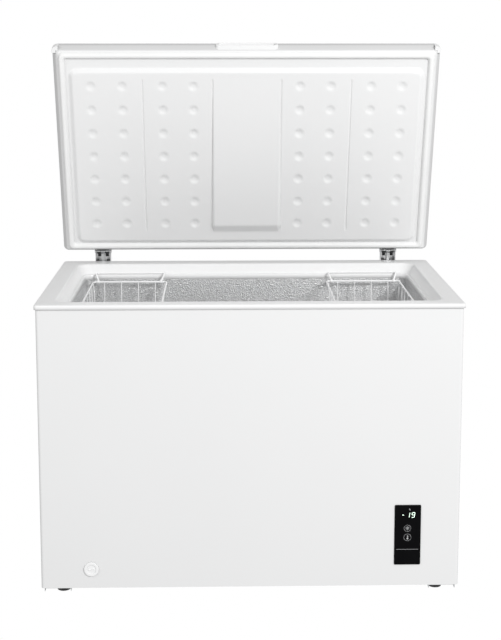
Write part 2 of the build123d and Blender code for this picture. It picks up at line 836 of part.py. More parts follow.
# Louvred grille in the right side of the bay
louvre_pitch = (louvre_height - 2 * louvre_blade) / louvre_count
with BuildPart() as side_grille:
    with BuildSketch(right_face):
        with Locations((mid_y, vent_z)):
            RectangleRounded(
                louvre_width + 2 * louvre_lip, louvre_height + 2 * louvre_lip, vent_corner
            )
            Rectangle(
                louvre_width - 2 * louvre_blade,
                louvre_height - 2 * louvre_blade,
                mode=Mode.SUBTRACT,
            )
    extrude(amount=louvre_flange)
    with BuildSketch(right_face):
        with Locations((mid_y, vent_z)):
            Rectangle(louvre_width - 2 * fit, louvre_height - 2 * fit)
            Rectangle(
                louvre_width - 2 * louvre_blade,
                louvre_height - 2 * louvre_blade,
                mode=Mode.SUBTRACT,
            )
    extrude(amount=-louvre_depth)
    for blade in range(1, louvre_count):
        low = vent_z - louvre_height / 2 + louvre_blade + blade * louvre_pitch
        with BuildSketch(Plane.XZ.offset(-(mid_y - louvre_width / 2 + louvre_blade))):
            with BuildLine():
                Polyline(
                    (shell_right + louvre_flange, low - louvre_pitch / 2),
                    (shell_right + louvre_flange, low - louvre_pitch / 2 + louvre_blade),
                    (shell_right - louvre_depth, low + louvre_blade),
                    (shell_right - louvre_depth, low),
                    close=True,
                )
            make_face()
        extrude(amount=-(louvre_width - 2 * louvre_blade))
save(side_grille.part, "side_grille")

# Display: black lens on the front, a housing behind the sheet, and its board
with BuildPart() as display_lens:
    with BuildSketch(front_face):
        with Locations((display_x, display_z)):
            RectangleRounded(display_width, display_height, display_corner)
    extrude(amount=lens_thickness)
    fillet(display_lens.faces().sort_by(Axis.Y)[0].edges(), lens_thickness / 3)
save(display_lens.part, "display_lens")

box_width = display_width - 2 * lens_lip - 2 * fit
box_height = display_height - 2 * lens_lip - 2 * fit
with BuildPart() as display_housing:
    with BuildSketch(front_face):
        with Locations((display_x, display_z)):
            Rectangle(box_width, box_height)
    extrude(amount=-housing_depth)
    offset(amount=-housing_wall, openings=display_housing.faces().sort_by(Axis.Y)[0])
save(display_housing.part, "display_housing")

with BuildPart() as control_board:
    with BuildSketch(Plane.XZ.offset(-(shell_front + housing_depth - housing_wall))):
        with Locations((display_x, display_z)):
            Rectangle(
                box_width - 2 * housing_wall - 2 * board_margin,
                box_height - 2 * housing_wall - 2 * board_margin,
            )
    extrude(amount=board_thickness)
save(control_board.part, "control_board")

# Drain: bent tube from the tub's floor to the front, a cap outside and a plug inside
with BuildPart() as drain_tube:
    with BuildLine() as drain_route:
        FilletPolyline(
            (drain_x, drain_y, liner_floor),
            (drain_x, drain_y, drain_z),
            (drain_x, shell_front, drain_z),
            radius=drain_bend,
        )
    with BuildSketch(Plane.XY.offset(liner_floor)) as drain_section:
        with Locations((drain_x, drain_y)):
            Circle(drain_radius)
            Circle(drain_bore, mode=Mode.SUBTRACT)
    sweep(sections=drain_section.sketch, path=drain_route.line)
save(drain_tube.part, "drain_tube")

with BuildPart() as drain_cap:
    with BuildSketch(front_face.offset(fit)):
        with Locations((drain_x, drain_z)):
            Circle(cap_radius)
    extrude(amount=cap_thickness)
    fillet(drain_cap.faces().sort_by(Axis.Y)[0].edges(), cap_thickness / 3)
    with BuildSketch(front_face.offset(fit + cap_thickness)):
        with Locations((drain_x, drain_z)):
            Circle(cap_face_radius)
            with Locations(Location((0, 0, 0), cap_grip_angle)):
                Rectangle(2 * cap_radius, cap_grip_width, mode=Mode.SUBTRACT)
    extrude(amount=-cap_grip_depth, mode=Mode.SUBTRACT)
    with BuildSketch(front_face.offset(fit)):
        with Locations((drain_x, drain_z)):
            Circle(drain_bore - clear)
    extrude(amount=-spigot_length)
save(drain_cap.part, "drain_cap")

with BuildPart() as drain_plug:
    with BuildSketch(Plane.XY.offset(liner_floor + clear)):
        with Locations((drain_x, drain_y)):
            Circle(plug_flange_radius)
    extrude(amount=plug_flange)
    with BuildSketch(Plane.XY.offset(liner_floor + clear)):
        with Locations((drain_x, drain_y)):
            Circle(drain_bore - clear)
    extrude(amount=-plug_spigot_length)
save(drain_plug.part, "drain_plug")

# Lid outer pan: deep-drawn sheet with a rounded top edge and an inward hem
front_edge = -rim_depth
handle_z = (lid_thickness - lid_edge_round) / 2
handle_face = Plane(lid_frame.location * Location((0, front_edge, handle_z), (90, 0, 0)))
with BuildPart() as lid_pan:
    with BuildSketch(lid_frame):
        lid_rectangle(0, 0, 0, lid_corner)
    extrude(amount=lid_thickness)
    top_face = lid_pan.faces().sort_by(Axis(lid_frame.origin, lid_frame.z_dir))[-1]
    fillet(top_face.edges(), lid_edge_round)
    bottom_face = lid_pan.faces().sort_by(Axis(lid_frame.origin, lid_frame.z_dir))[0]
    offset(amount=-sheet, openings=bottom_face)
    with BuildSketch(lid_frame):
        lid_rectangle(0, 0, 0, lid_corner)
        with Locations((0, -rim_depth / 2)):
            Rectangle(rim_width - 2 * lid_hem, rim_depth - 2 * lid_hem, mode=Mode.SUBTRACT)
    extrude(amount=sheet)
    with BuildSketch(handle_face):
        RectangleRounded(handle_width - 2 * handle_border, handle_height - handle_border, handle_corner)
    extrude(amount=-lid_edge_round, mode=Mode.SUBTRACT)
    with BuildSketch(lid_back):
        with Locations(*rivet_spots):
            Circle(screw_radius + screw_play)
    extrude(amount=-sheet, mode=Mode.SUBTRACT)
save(lid_pan.part, "lid_pan")

# Lid liner: flat border, bevelled plug with dimples and grooves, and a wedge that deepens to the back
plug_frame = lid_frame.offset(-plug_height)
row_y = [front_edge + dimple_from_front + row * dimple_pitch for row in range(dimple_rows)]
dimple_spots = [(side * x, y) for side, _ in sides for x in dimple_columns for y in row_y]
wedge_front = front_edge + groove_from_front
wedge_back = front_edge + groove_end - wedge_bevel
wedge_end = front_edge + groove_end


def wedge_section(y, height):
    """Upright trapezoid across the lid, standing out of the plug's face by the given height."""
    stand = Plane(lid_frame.location * Location((0, y, -plug_height)))
    section = Plane(origin=stand.origin, x_dir=stand.x_dir, z_dir=stand.y_dir)
    with BuildSketch(section) as trapezoid:
        with BuildLine():
            Polyline(
                (-wedge_half_width - height, 0),
                (wedge_half_width + height, 0),
                (wedge_half_width, height),
                (-wedge_half_width, height),
                close=True,
            )
        make_face()
    return trapezoid.sketch


with BuildPart() as lid_liner:
    with BuildSketch(lid_frame):
        lid_rectangle(lid_hem + fit, lid_hem + fit, lid_hem + fit, fit)
    extrude(amount=lid_liner_sheet)
    with BuildSketch(lid_frame):
        lid_rectangle(plug_front, plug_back, plug_side, plug_corner)
    with BuildSketch(plug_frame):
        lid_rectangle(plug_front + plug_bevel, plug_back + plug_bevel, plug_side + plug_bevel, plug_corner)
    loft()
    with BuildSketch(lid_frame.offset(lid_liner_sheet)):
        lid_rectangle(
            plug_front + plug_bevel, plug_back + plug_bevel, plug_side + plug_bevel, plug_corner
        )
    extrude(amount=-plug_height, mode=Mode.SUBTRACT)
    loft(sections=[wedge_section(wedge_front, fit), wedge_section(wedge_back, wedge_height)], ruled=True)
    loft(sections=[wedge_section(wedge_back, wedge_height), wedge_section(wedge_end, fit)], ruled=True)
    with BuildSketch(plug_frame):
        for side, _ in sides:
            with Locations((side * groove_x, front_edge + (groove_from_front + groove_end) / 2)):
                SlotOverall(groove_end - groove_from_front, groove_width, rotation=90)
    extrude(amount=groove_depth, mode=Mode.SUBTRACT)
    with Locations(lid_frame.location * Location((0, 0, -plug_height + dimple_depth / 2))):
        with Locations(*dimple_spots):
            Cone(dimple_radius, dimple_floor_radius, dimple_depth, mode=Mode.SUBTRACT)
save(lid_liner.part, "lid_liner")

# Lid foam: fills the pan down to the liner, and the hollow of the plug
cup_width = handle_width - 2 * handle_border
cup_height = handle_height - handle_border
with BuildPart() as lid_foam:
    skin = sheet + fit
    with BuildSketch(lid_frame.offset(lid_liner_sheet)):
        lid_rectangle(skin, skin, skin, lid_corner - skin)
    extrude(amount=lid_thickness - lid_liner_sheet - skin)
    foam_top = lid_foam.faces().sort_by(Axis(lid_frame.origin, lid_frame.z_dir))[-1]
    fillet(foam_top.edges(), lid_edge_round - skin)
    with BuildSketch(lid_frame.offset(lid_liner_sheet)):
        lid_rectangle(
            plug_front + plug_bevel + fit,
            plug_back + plug_bevel + fit,
            plug_side + plug_bevel + fit,
            plug_corner,
        )
    extrude(amount=-plug_height)
    with BuildSketch(handle_face):
        Rectangle(cup_width + 2 * fit, cup_height + 2 * fit)
    extrude(amount=-handle_depth - fit, mode=Mode.SUBTRACT)
save(lid_foam.part, "lid_foam")

# Gasket: flat base strip with a rounded sealing bulb
with BuildPart() as gasket:
    with BuildSketch(lid_frame):
        lid_rectangle(gasket_inset, gasket_back_inset, gasket_inset, lid_corner)
        with Locations((0, -rim_depth / 2 + (gasket_inset - gasket_back_inset) / 2)):
            RectangleRounded(
                rim_width - 2 * gasket_inset - 2 * gasket_width,
                rim_depth - gasket_inset - gasket_back_inset - 2 * gasket_width,
                lid_corner / 2,
                mode=Mode.SUBTRACT,
            )
    extrude(amount=-gasket_base)
    bulb_inset = (gasket_width - gasket_bulb) / 2
    with BuildSketch(lid_frame.offset(-gasket_base)):
        lid_rectangle(
            gasket_inset + bulb_inset, gasket_back_inset + bulb_inset, gasket_inset + bulb_inset, lid_corner
        )
        with Locations((0, -rim_depth / 2 + (gasket_inset - gasket_back_inset) / 2)):
            RectangleRounded(
                rim_width - 2 * (gasket_inset + bulb_inset + gasket_bulb),
                rim_depth - gasket_inset - gasket_back_inset - 2 * (bulb_inset + gasket_bulb),
                lid_corner / 2,
                mode=Mode.SUBTRACT,
            )
    extrude(amount=-(lid_gap - gasket_base - gasket_play))
    bulb_face = gasket.faces().sort_by(Axis(lid_frame.origin, lid_frame.z_dir))[0]
    fillet(bulb_face.edges(), gasket_bulb / 3)
save(gasket.part, "lid_gasket")

# Moulded caps over the two front corners of the lid
with BuildPart() as corner_caps:
    with BuildSketch(lid_frame.offset(-cap_wall)):
        lid_rectangle(-cap_wall, -cap_wall, -cap_wall, lid_corner + cap_wall)
    extrude(amount=cap_wall + cap_rise)
    with BuildSketch(lid_frame):
        lid_rectangle(-fit, -fit, -fit, lid_corner + fit)
    extrude(amount=cap_rise, mode=Mode.SUBTRACT)
    with BuildSketch(lid_frame.offset(-cap_wall)):
        lid_rectangle(lid_hem, lid_hem, lid_hem, fit)
    extrude(amount=cap_wall, mode=Mode.SUBTRACT)
    with BuildSketch(lid_frame.offset(-cap_wall)):
        with Locations(*[(side * (rim_width / 2), front_edge) for side, _ in sides]):
            Rectangle(2 * cap_arm, 2 * cap_arm)
    extrude(amount=cap_wall + cap_rise, mode=Mode.INTERSECT)
save(corner_caps.part, "lid_corner_caps")

# Handle: finger cup let into the front edge, with a flange that stands a little proud
with BuildPart() as handle:
    with BuildSketch(handle_face):
        RectangleRounded(handle_width, handle_height, handle_corner)
    extrude(amount=handle_proud)
    handle_front = handle.faces().sort_by(Axis(handle_face.origin, handle_face.z_dir))[-1]
    fillet(handle_front.edges(), handle_edge)
    with BuildSketch(handle_face):
        RectangleRounded(cup_width - 2 * fit, cup_height - 2 * fit, handle_corner - fit)
    extrude(amount=-handle_depth)
    with BuildSketch(handle_face.offset(handle_proud)):
        RectangleRounded(
            cup_width - 2 * handle_wall, cup_height - 2 * handle_wall, handle_corner - handle_wall
        )
    extrude(amount=-(handle_proud + handle_depth - handle_wall), mode=Mode.SUBTRACT)
save(handle.part, "lid_handle")

# Hinges
web_back = pivot_y + channel_depth
channel_low = pivot_z - channel_height
channel_x = hinge_width / 2
skirt_low = rim_top - rim_height - fit
plunger_top = pivot_z - cam_low - cam_play
flange_top = plunger_top - plunger_blade_length

for side, hand in sides:
    place = side * hinge_x
    # Base: channel on the back panel with two cheeks, two flanges and a floor for the spring
    with BuildPart() as hinge_base:
        for cheek in (-1, 1):
            start = place + cheek * (channel_x - hinge_plate / 2) - hinge_plate / 2
            with BuildSketch(Plane.YZ.offset(start)):
                with BuildLine():
                    Polyline(
                        (shell_back, channel_low),
                        (web_back, channel_low),
                        (web_back, pivot_z),
                        (pivot_y - cheek_radius, pivot_z),
                        (pivot_y - cheek_radius, skirt_low),
                        (shell_back, skirt_low),
                        close=True,
                    )
                make_face()
                with Locations((pivot_y, pivot_z)):
                    Circle(cheek_radius)
                    Circle(pin_radius + pin_play, mode=Mode.SUBTRACT)
            extrude(amount=hinge_plate)
        with BuildSketch(Plane.XY.offset(channel_low)):
            with Locations((place, web_back - hinge_plate / 2)):
                Rectangle(hinge_width, hinge_plate)
        extrude(amount=channel_height - pin_radius)
        with BuildSketch(Plane.XY.offset(channel_low)):
            with Locations((place, (shell_back + web_back) / 2)):
                Rectangle(hinge_width, web_back - shell_back)
            with Locations((place, pivot_y)):
                Circle(plunger_stem + spring_play, mode=Mode.SUBTRACT)
        extrude(amount=hinge_plate)
        with BuildSketch(back_face):
            with Locations((place, hinge_flange_z)):
                Rectangle(hinge_width + 2 * flange_width, flange_height)
                Rectangle(hinge_width - 2 * hinge_plate, flange_height, mode=Mode.SUBTRACT)
            with Locations(*hinge_spots):
                Circle(screw_radius + screw_play, mode=Mode.SUBTRACT)
        extrude(amount=-hinge_plate)
    save(hinge_base.part, f"hinge_base_{hand}")

    # Pin: a rivet through the cheeks
    with BuildPart() as hinge_pin:
        with BuildSketch(Plane.YZ.offset(place - channel_x - fit)):
            with Locations((pivot_y, pivot_z)):
                Circle(pin_radius)
        extrude(amount=hinge_width + 2 * fit)
        for cheek in (-1, 1):
            with BuildSketch(Plane.YZ.offset(place + cheek * (channel_x + fit))):
                with Locations((pivot_y, pivot_z)):
                    Circle(pin_head_radius)
            extrude(amount=cheek * pin_head)
    save(hinge_pin.part, f"hinge_pin_{hand}")

    # Leaf: plate on the lid's back edge, two ears on the pin and the cam that drives the plunger
    leaf_frame = Plane(origin=(0, pivot_y, pivot_z), x_dir=hinge_frame.y_dir, z_dir=(1, 0, 0))
    with BuildPart() as leaf:
        with BuildSketch(leaf_frame.offset(place - ear_x)):
            with Locations((leaf_plate / 2 - pin_behind, (leaf_high - leaf_low) / 2)):
                Rectangle(leaf_plate, leaf_high + leaf_low)
        extrude(amount=2 * ear_x)
        for start in (place - ear_x, place + ear_x - hinge_plate):
            with BuildSketch(leaf_frame.offset(start)):
                with Locations((-pin_behind / 2, 0)):
                    Rectangle(pin_behind, 2 * ear_radius)
                Circle(ear_radius)
                Circle(pin_radius + pin_play, mode=Mode.SUBTRACT)
            extrude(amount=hinge_plate)
        with BuildSketch(leaf_frame.offset(place - cam_width / 2)):
            with BuildLine():
                lobe = []
                for step in range(cam_steps + 1):
                    share = step / cam_steps
                    angle = radians(cam_low_angle + lid_open * share)
                    reach = cam_high - (cam_high - cam_low) * share
                    lobe.append((reach * cos(angle), reach * sin(angle)))
                Spline(*lobe)
                Line(lobe[-1], (0, 0))
                Line((0, 0), lobe[0])
            make_face()
            Circle(cam_low)
            with Locations((-pin_behind / 2, 0)):
                Rectangle(pin_behind, 2 * cam_low)
            Circle(pin_radius + pin_play, mode=Mode.SUBTRACT)
        extrude(amount=cam_width)
        with BuildSketch(lid_back):
            with Locations(*rivet_spots):
                Circle(screw_radius + screw_play)
        extrude(amount=leaf_plate, mode=Mode.SUBTRACT)
    save(leaf.part, f"hinge_leaf_{hand}")

    # Plunger and the spring under it
    with BuildPart() as plunger:
        with BuildSketch(Plane.XY.offset(channel_low - plunger_flange)):
            with Locations((place, pivot_y)):
                Circle(plunger_stem)
        extrude(amount=flange_top - channel_low + plunger_flange)
        with BuildSketch(Plane.XY.offset(flange_top - plunger_flange_height)):
            with Locations((place, pivot_y)):
                Circle(plunger_flange)
        extrude(amount=plunger_flange_height)
        with BuildSketch(Plane.XY.offset(flange_top)):
            with Locations((place, pivot_y)):
                Rectangle(2 * plunger_stem, 2 * plunger_blade)
        extrude(amount=plunger_blade_length)
    save(plunger.part, f"hinge_plunger_{hand}")

    with BuildPart() as spring:
        with BuildSketch(Plane.XY.offset(channel_low + hinge_plate)):
            with Locations((place, pivot_y)):
                Circle(plunger_stem + spring_play + spring_wall)
                Circle(plunger_stem + spring_play, mode=Mode.SUBTRACT)
        extrude(amount=flange_top - plunger_flange_height - channel_low - hinge_plate)
    save(spring.part, f"hinge_spring_{hand}")

with BuildPart() as backing_plates:
    with BuildSketch(Plane.XZ.offset(-inside_back)):
        with Locations(*[(side * hinge_x, hinge_flange_z) for side, _ in sides]):
            Rectangle(hinge_width + 2 * flange_width, flange_height)
        with Locations(*hinge_spots):
            Circle(screw_radius + screw_play, mode=Mode.SUBTRACT)
    extrude(amount=backing_plate)
save(backing_plates.part, "hinge_backing_plates")

with BuildPart() as hinge_screws:
    with BuildSketch(Plane.XZ.offset(-(shell_back + hinge_plate))):
        with Locations(*hinge_spots):
            Circle(screw_radius)
    extrude(amount=hinge_plate + sheet + backing_plate)
    with BuildSketch(Plane.XZ.offset(-(shell_back + hinge_plate))):
        with Locations(*hinge_spots):
            Circle(screw_head_radius)
    extrude(amount=-screw_head)
save(hinge_screws.part, "hinge_screws")

with BuildPart() as rivets:
    with BuildSketch(lid_back.offset(leaf_plate)):
        with Locations(*rivet_spots):
            Circle(screw_radius)
    extrude(amount=-leaf_plate - sheet)
    with BuildSketch(lid_back.offset(leaf_plate)):
        with Locations(*rivet_spots):
            Circle(rivet_head_radius)
    extrude(amount=rivet_head)
save(rivets.part, "hinge_leaf_rivets")

# Baskets: frame, long and cross wires bent under the load, a hoop half way down, and two bails
tub_mid = (tub_front + tub_back) / 2
frame_x = basket_width / 2 - frame_wire
frame_y = basket_depth / 2 - frame_wire
inner_step = frame_wire + grid_wire + wire_touch
basket_low = basket_top - basket_height
bail_out = rim_back - ring_back - funnel_inset - ledge_width / 2 - tub_mid - frame_y
bail_up = ledge_top + clear + bail_wire - basket_top
hoop_share = hoop_drop / basket_height
for side, hand in sides:
    middle = side * basket_x
    with BuildPart() as basket:
        corners = ((-frame_x, -frame_y), (frame_x, -frame_y), (frame_x, frame_y), (-frame_x, frame_y))
        wire([(middle + x, tub_mid + y, basket_top) for x, y in corners], frame_bend, frame_wire, close=True)
        wall_y = frame_y - inner_step
        for number in range(long_wires):
            x = middle + (number - (long_wires - 1) / 2) * long_pitch
            wire(
                [
                    (x, tub_mid - wall_y, basket_top + frame_wire / 2),
                    (x, tub_mid - wall_y + basket_taper, basket_low),
                    (x, tub_mid + wall_y - basket_taper, basket_low),
                    (x, tub_mid + wall_y, basket_top + frame_wire / 2),
                ],
                grid_bend,
                grid_wire,
            )
        wall_x = frame_x - inner_step
        cross_low = basket_low + 2 * grid_wire + wire_touch
        for number in range(cross_wires):
            y = tub_mid + (number - (cross_wires - 1) / 2) * cross_pitch
            wire(
                [
                    (middle - wall_x, y, basket_top + frame_wire / 2),
                    (middle - wall_x + basket_taper, y, cross_low),
                    (middle + wall_x - basket_taper, y, cross_low),
                    (middle + wall_x, y, basket_top + frame_wire / 2),
                ],
                grid_bend,
                grid_wire,
            )
        hoop_x = wall_x - basket_taper * hoop_share + 2 * grid_wire + wire_touch
        hoop_y = wall_y - basket_taper * hoop_share + 2 * grid_wire + wire_touch
        corners = ((-hoop_x, -hoop_y), (hoop_x, -hoop_y), (hoop_x, hoop_y), (-hoop_x, hoop_y))
        wire(
            [(middle + x, tub_mid + y, basket_top - hoop_drop) for x, y in corners],
            frame_bend,
            grid_wire,
            close=True,
        )
    save(basket.part, f"basket_{hand}")

    for end, place in ((-1, "front"), (1, "back")):
        pivot = tub_mid + end * frame_y
        eye_bore = frame_wire + eye_play
        with BuildPart() as bail:
            for across in (-1, 1):
                with BuildSketch(Plane.YZ.offset(middle + across * bail_eye_x - eye_length / 2)):
                    with Locations((pivot, basket_top)):
                        Circle(eye_bore + eye_wall)
                        Circle(eye_bore, mode=Mode.SUBTRACT)
                extrude(amount=eye_length)
            reach = (eye_bore + eye_wall / 2) / hypot(bail_crank, bail_up)
            wire(
                [
                    (middle - bail_eye_x, pivot + end * bail_crank * reach, basket_top + bail_up * reach),
                    (middle - bail_half_width, pivot + end * bail_crank, basket_top + bail_up),
                    (middle - bail_half_width, pivot + end * bail_out, basket_top + bail_up),
                    (middle + bail_half_width, pivot + end * bail_out, basket_top + bail_up),
                    (middle + bail_half_width, pivot + end * bail_crank, basket_top + bail_up),
                    (middle + bail_eye_x, pivot + end * bail_crank * reach, basket_top + bail_up * reach),
                ],
                bail_bend,
                bail_wire,
            )
        save(bail.part, f"bail_{hand}_{place}")
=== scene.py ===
import json
import math

import bmesh
import bpy
from mathutils import Matrix, Vector


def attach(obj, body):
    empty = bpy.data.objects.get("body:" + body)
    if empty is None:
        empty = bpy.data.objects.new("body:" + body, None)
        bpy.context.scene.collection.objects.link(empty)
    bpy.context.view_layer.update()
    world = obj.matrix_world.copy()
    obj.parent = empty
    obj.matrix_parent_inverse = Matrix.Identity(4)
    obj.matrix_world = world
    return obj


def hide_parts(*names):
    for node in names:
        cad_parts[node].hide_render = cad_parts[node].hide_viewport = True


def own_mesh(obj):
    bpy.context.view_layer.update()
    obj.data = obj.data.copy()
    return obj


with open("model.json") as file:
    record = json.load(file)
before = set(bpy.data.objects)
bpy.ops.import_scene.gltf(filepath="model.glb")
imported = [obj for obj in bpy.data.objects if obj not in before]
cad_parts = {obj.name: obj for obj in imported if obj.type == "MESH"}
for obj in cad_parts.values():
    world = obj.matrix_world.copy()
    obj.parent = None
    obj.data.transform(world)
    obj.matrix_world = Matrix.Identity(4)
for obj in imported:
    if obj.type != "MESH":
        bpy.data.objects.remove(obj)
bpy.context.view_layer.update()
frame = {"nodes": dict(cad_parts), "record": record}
nodes = frame["nodes"]
print("frame loaded:", len(nodes), "nodes")

mm = 0.001


# Shader maths: a Value is one output socket, and sums on it add Math nodes
class Value:
    def __init__(self, finish, socket):
        self.finish = finish
        self.socket = socket

    def sum(self, operation, first, second):
        return self.finish.add("Math", {"operation": operation}, {0: first, 1: second})

    def __add__(self, other):
        return self.sum("ADD", self, other)

    def __radd__(self, other):
        return self.sum("ADD", other, self)

    def __mul__(self, other):
        return self.sum("MULTIPLY", self, other)

    def __rmul__(self, other):
        return self.sum("MULTIPLY", other, self)

    def __gt__(self, other):
        return self.sum("GREATER_THAN", self, other)


class Finish:
    def __init__(self, name):
        self.material = bpy.data.materials.new(name)
        self.material.use_nodes = True
        self.tree = self.material.node_tree
        self.shader = next(n for n in self.tree.nodes if n.type == "BSDF_PRINCIPLED")
        self.place = self.add("TexCoord", {}, {}, "Object")

    # any node: its type, its settings, the values or links of its sockets
    def add(self, kind, settings, sockets, out=0):
        node = self.tree.nodes.new("ShaderNode" + kind)
        for key, setting in settings.items():
            setattr(node, key, setting)
        for key, given in sockets.items():
            self.feed(node.inputs[key], given)
        return Value(self, node.outputs[out])

    def feed(self, socket, given):
        if isinstance(given, Value):
            self.tree.links.new(given.socket, socket)
        else:
            socket.default_value = given

    def set(self, **given):
        for key, what in given.items():
            name = "".join(" " + c if c.isupper() else c for c in key).strip().title()
            name = name.replace("Ior", "IOR")
            self.feed(self.shader.inputs[name], what)
        return self

    def mapped(self, scale):
        return self.add("Mapping", {}, {"Vector": self.place, "Scale": scale})

    def noise(self, scale, detail, rough, place=None):
        sockets = {"Vector": place or self.place, "Scale": scale, "Detail": detail, "Roughness": rough}
        return self.add("TexNoise", {}, sockets, "Fac")

    def cells(self, scale, feature="F1", out="Distance", smooth=None):
        sockets = {"Vector": self.place, "Scale": scale}
        if smooth is not None:
            sockets["Smoothness"] = smooth
        return self.add("TexVoronoi", {"feature": feature}, sockets, out)

    def tint(self, mask, dark, light):
        colours = {0: mask, 6: (*dark, 1), 7: (*light, 1)}
        return self.add("Mix", {"data_type": "RGBA"}, colours, 2)

    def bump(self, height, strength, distance):
        sockets = {"Height": height, "Strength": strength, "Distance": distance}
        self.set(normal=self.add("Bump", {}, sockets))
        return self


# Finishes, one function each
def enamel(name, dark=(0.698, 0.700, 0.701), light=(0.722, 0.723, 0.724)):
    look = {"peelScale": 420, "peel": 0.05, "peelDeep": 0.0004, "handling": 2.3, "gloss": 0.30, "dull": 0.09}
    f = Finish(name)
    cloud = f.noise(look["handling"], 4, 0.55)
    peel = f.noise(look["peelScale"], 2, 0.4)
    f.set(baseColor=f.tint(cloud, dark, light), roughness=look["gloss"] + look["dull"] * cloud,
          coatWeight=0.25, coatRoughness=0.12)
    return f.bump(peel, look["peel"], look["peelDeep"]).material


def mouldedWhite(name, dark, light, gloss, grain=0.03):
    look = {"flow": 3.1, "flowDull": 0.08, "grainScale": 900, "grainDull": 0.03, "grainDeep": 0.0003}
    f = Finish(name)
    flow = f.noise(look["flow"], 3, 0.5)
    fine = f.noise(look["grainScale"], 2, 0.5)
    f.set(baseColor=f.tint(flow, dark, light),
          roughness=gloss + look["flowDull"] * flow + look["grainDull"] * fine)
    return f.bump(fine, grain, look["grainDeep"]).material


def pebbledSheet(name):
    look = {"pebble": 290, "fine": 700, "wander": 60, "shares": (0.8, 0.25, 0.15), "depth": 0.0011,
            "strength": 0.9, "gloss": 0.34, "dull": 0.14}
    f = Finish(name)
    wander = f.noise(look["wander"], 2, 0.5)
    pebble = f.cells(look["pebble"], "SMOOTH_F1", smooth=0.35)
    ridge = f.cells(look["fine"])
    pebbleShare, ridgeShare, wanderShare = look["shares"]
    height = pebble * pebbleShare + ridge * ridgeShare + wander * wanderShare
    # the base colour follows the relief height, light where it is low and dark where it is high: painted light and
    # shade on the pebbles, with some random drift
    f.set(baseColor=f.tint(height, (0.97, 0.97, 0.97), (0.60, 0.605, 0.61)), metallic=0.85,
          roughness=look["gloss"] + look["dull"] * wander)
    return f.bump(height, look["strength"], look["depth"]).material


def dippedWire(name):
    look = {"lump": 90, "lumpDeep": 0.0006, "gloss": 0.28, "dull": 0.12}
    f = Finish(name)
    lump = f.noise(look["lump"], 2, 0.5)
    f.set(baseColor=f.tint(lump, (0.80, 0.805, 0.81), (0.86, 0.86, 0.86)),
          roughness=look["gloss"] + look["dull"] * lump, coatWeight=0.3)
    return f.bump(lump, 0.12, look["lumpDeep"]).material


def zincPlate(name, dark=(0.62, 0.625, 0.63), light=(0.84, 0.845, 0.85), rough=0.24):
    look = {"brush": (900, 900, 18), "brushDeep": 0.0003, "dull": 0.16, "cloud": 30}
    f = Finish(name)
    brushed = f.noise(1.0, 2, 0.6, f.mapped(look["brush"]))
    cloud = f.noise(look["cloud"], 3, 0.5)
    f.set(baseColor=f.tint(cloud, dark, light), metallic=1.0, roughness=rough + look["dull"] * brushed)
    return f.bump(brushed, 0.08, look["brushDeep"]).material


def spangledSheet(name):
    look = {"spangle": 55, "dust": 6, "grain": 300, "grainDeep": 0.0003, "rough": 0.38, "dull": 0.18}
    f = Finish(name)
    flake = f.cells(look["spangle"], out="Color")
    grey = f.add("SeparateColor", {}, {0: flake})
    dust = f.noise(look["dust"], 4, 0.6)
    f.set(baseColor=f.tint(grey * 0.7 + dust * 0.3, (0.46, 0.475, 0.485), (0.66, 0.67, 0.675)), metallic=0.85,
          roughness=look["rough"] + look["dull"] * grey)
    return f.bump(f.noise(look["grain"], 2, 0.5), 0.06, look["grainDeep"]).material


def softVinyl(name):
    look = {"grain": 700, "grainDeep": 0.0004, "cloud": 9, "gloss": 0.5, "dull": 0.12}
    f = Finish(name)
    cloud = f.noise(look["cloud"], 3, 0.5)
    fine = f.noise(look["grain"], 2, 0.5)
    f.set(baseColor=f.tint(cloud, (0.76, 0.765, 0.765), (0.82, 0.82, 0.815)),
          roughness=look["gloss"] + look["dull"] * cloud, sheenWeight=0.15)
    return f.bump(fine, 0.08, look["grainDeep"]).material


def darkPlastic(name, dark=(0.02, 0.02, 0.021), light=(0.045, 0.045, 0.046), rough=0.5):
    look = {"spark": 1300, "sparkDeep": 0.0003, "dust": 14, "dull": 0.15}
    f = Finish(name)
    spark = f.noise(look["spark"], 2, 0.5)
    dust = f.noise(look["dust"], 4, 0.6)
    f.set(baseColor=f.tint(dust, dark, light), roughness=rough + look["dull"] * dust)
    return f.bump(spark, 0.15, look["sparkDeep"]).material


def blackGlass(name):
    look = {"smear": 28, "gloss": 0.06, "dull": 0.09, "wave": 5, "waveDeep": 0.0004}
    f = Finish(name)
    smear = f.noise(look["smear"], 4, 0.6)
    f.set(baseColor=f.tint(smear, (0.0015, 0.0015, 0.002), (0.004, 0.004, 0.0045)),
          roughness=look["gloss"] + look["dull"] * smear, specularIorLevel=0.04)
    return f.bump(f.noise(look["wave"], 1, 0.4), 0.02, look["waveDeep"]).material


def drawnTube(name, dark, light):
    look = {"tarnish": 40, "gloss": 0.3, "dull": 0.15, "grain": 600, "grainDeep": 0.0002}
    f = Finish(name)
    tarnish = f.noise(look["tarnish"], 4, 0.6)
    f.set(baseColor=f.tint(tarnish, dark, light), metallic=1.0,
          roughness=look["gloss"] + look["dull"] * tarnish)
    return f.bump(f.noise(look["grain"], 2, 0.5), 0.05, look["grainDeep"]).material


def rigidFoam(name):
    look = {"bubble": 380, "bubbleDeep": 0.0006}
    f = Finish(name)
    bubble = f.cells(look["bubble"])
    f.set(baseColor=f.tint(bubble, (0.72, 0.64, 0.42), (0.83, 0.77, 0.56)), roughness=0.85)
    return f.bump(bubble, 0.4, look["bubbleDeep"]).material


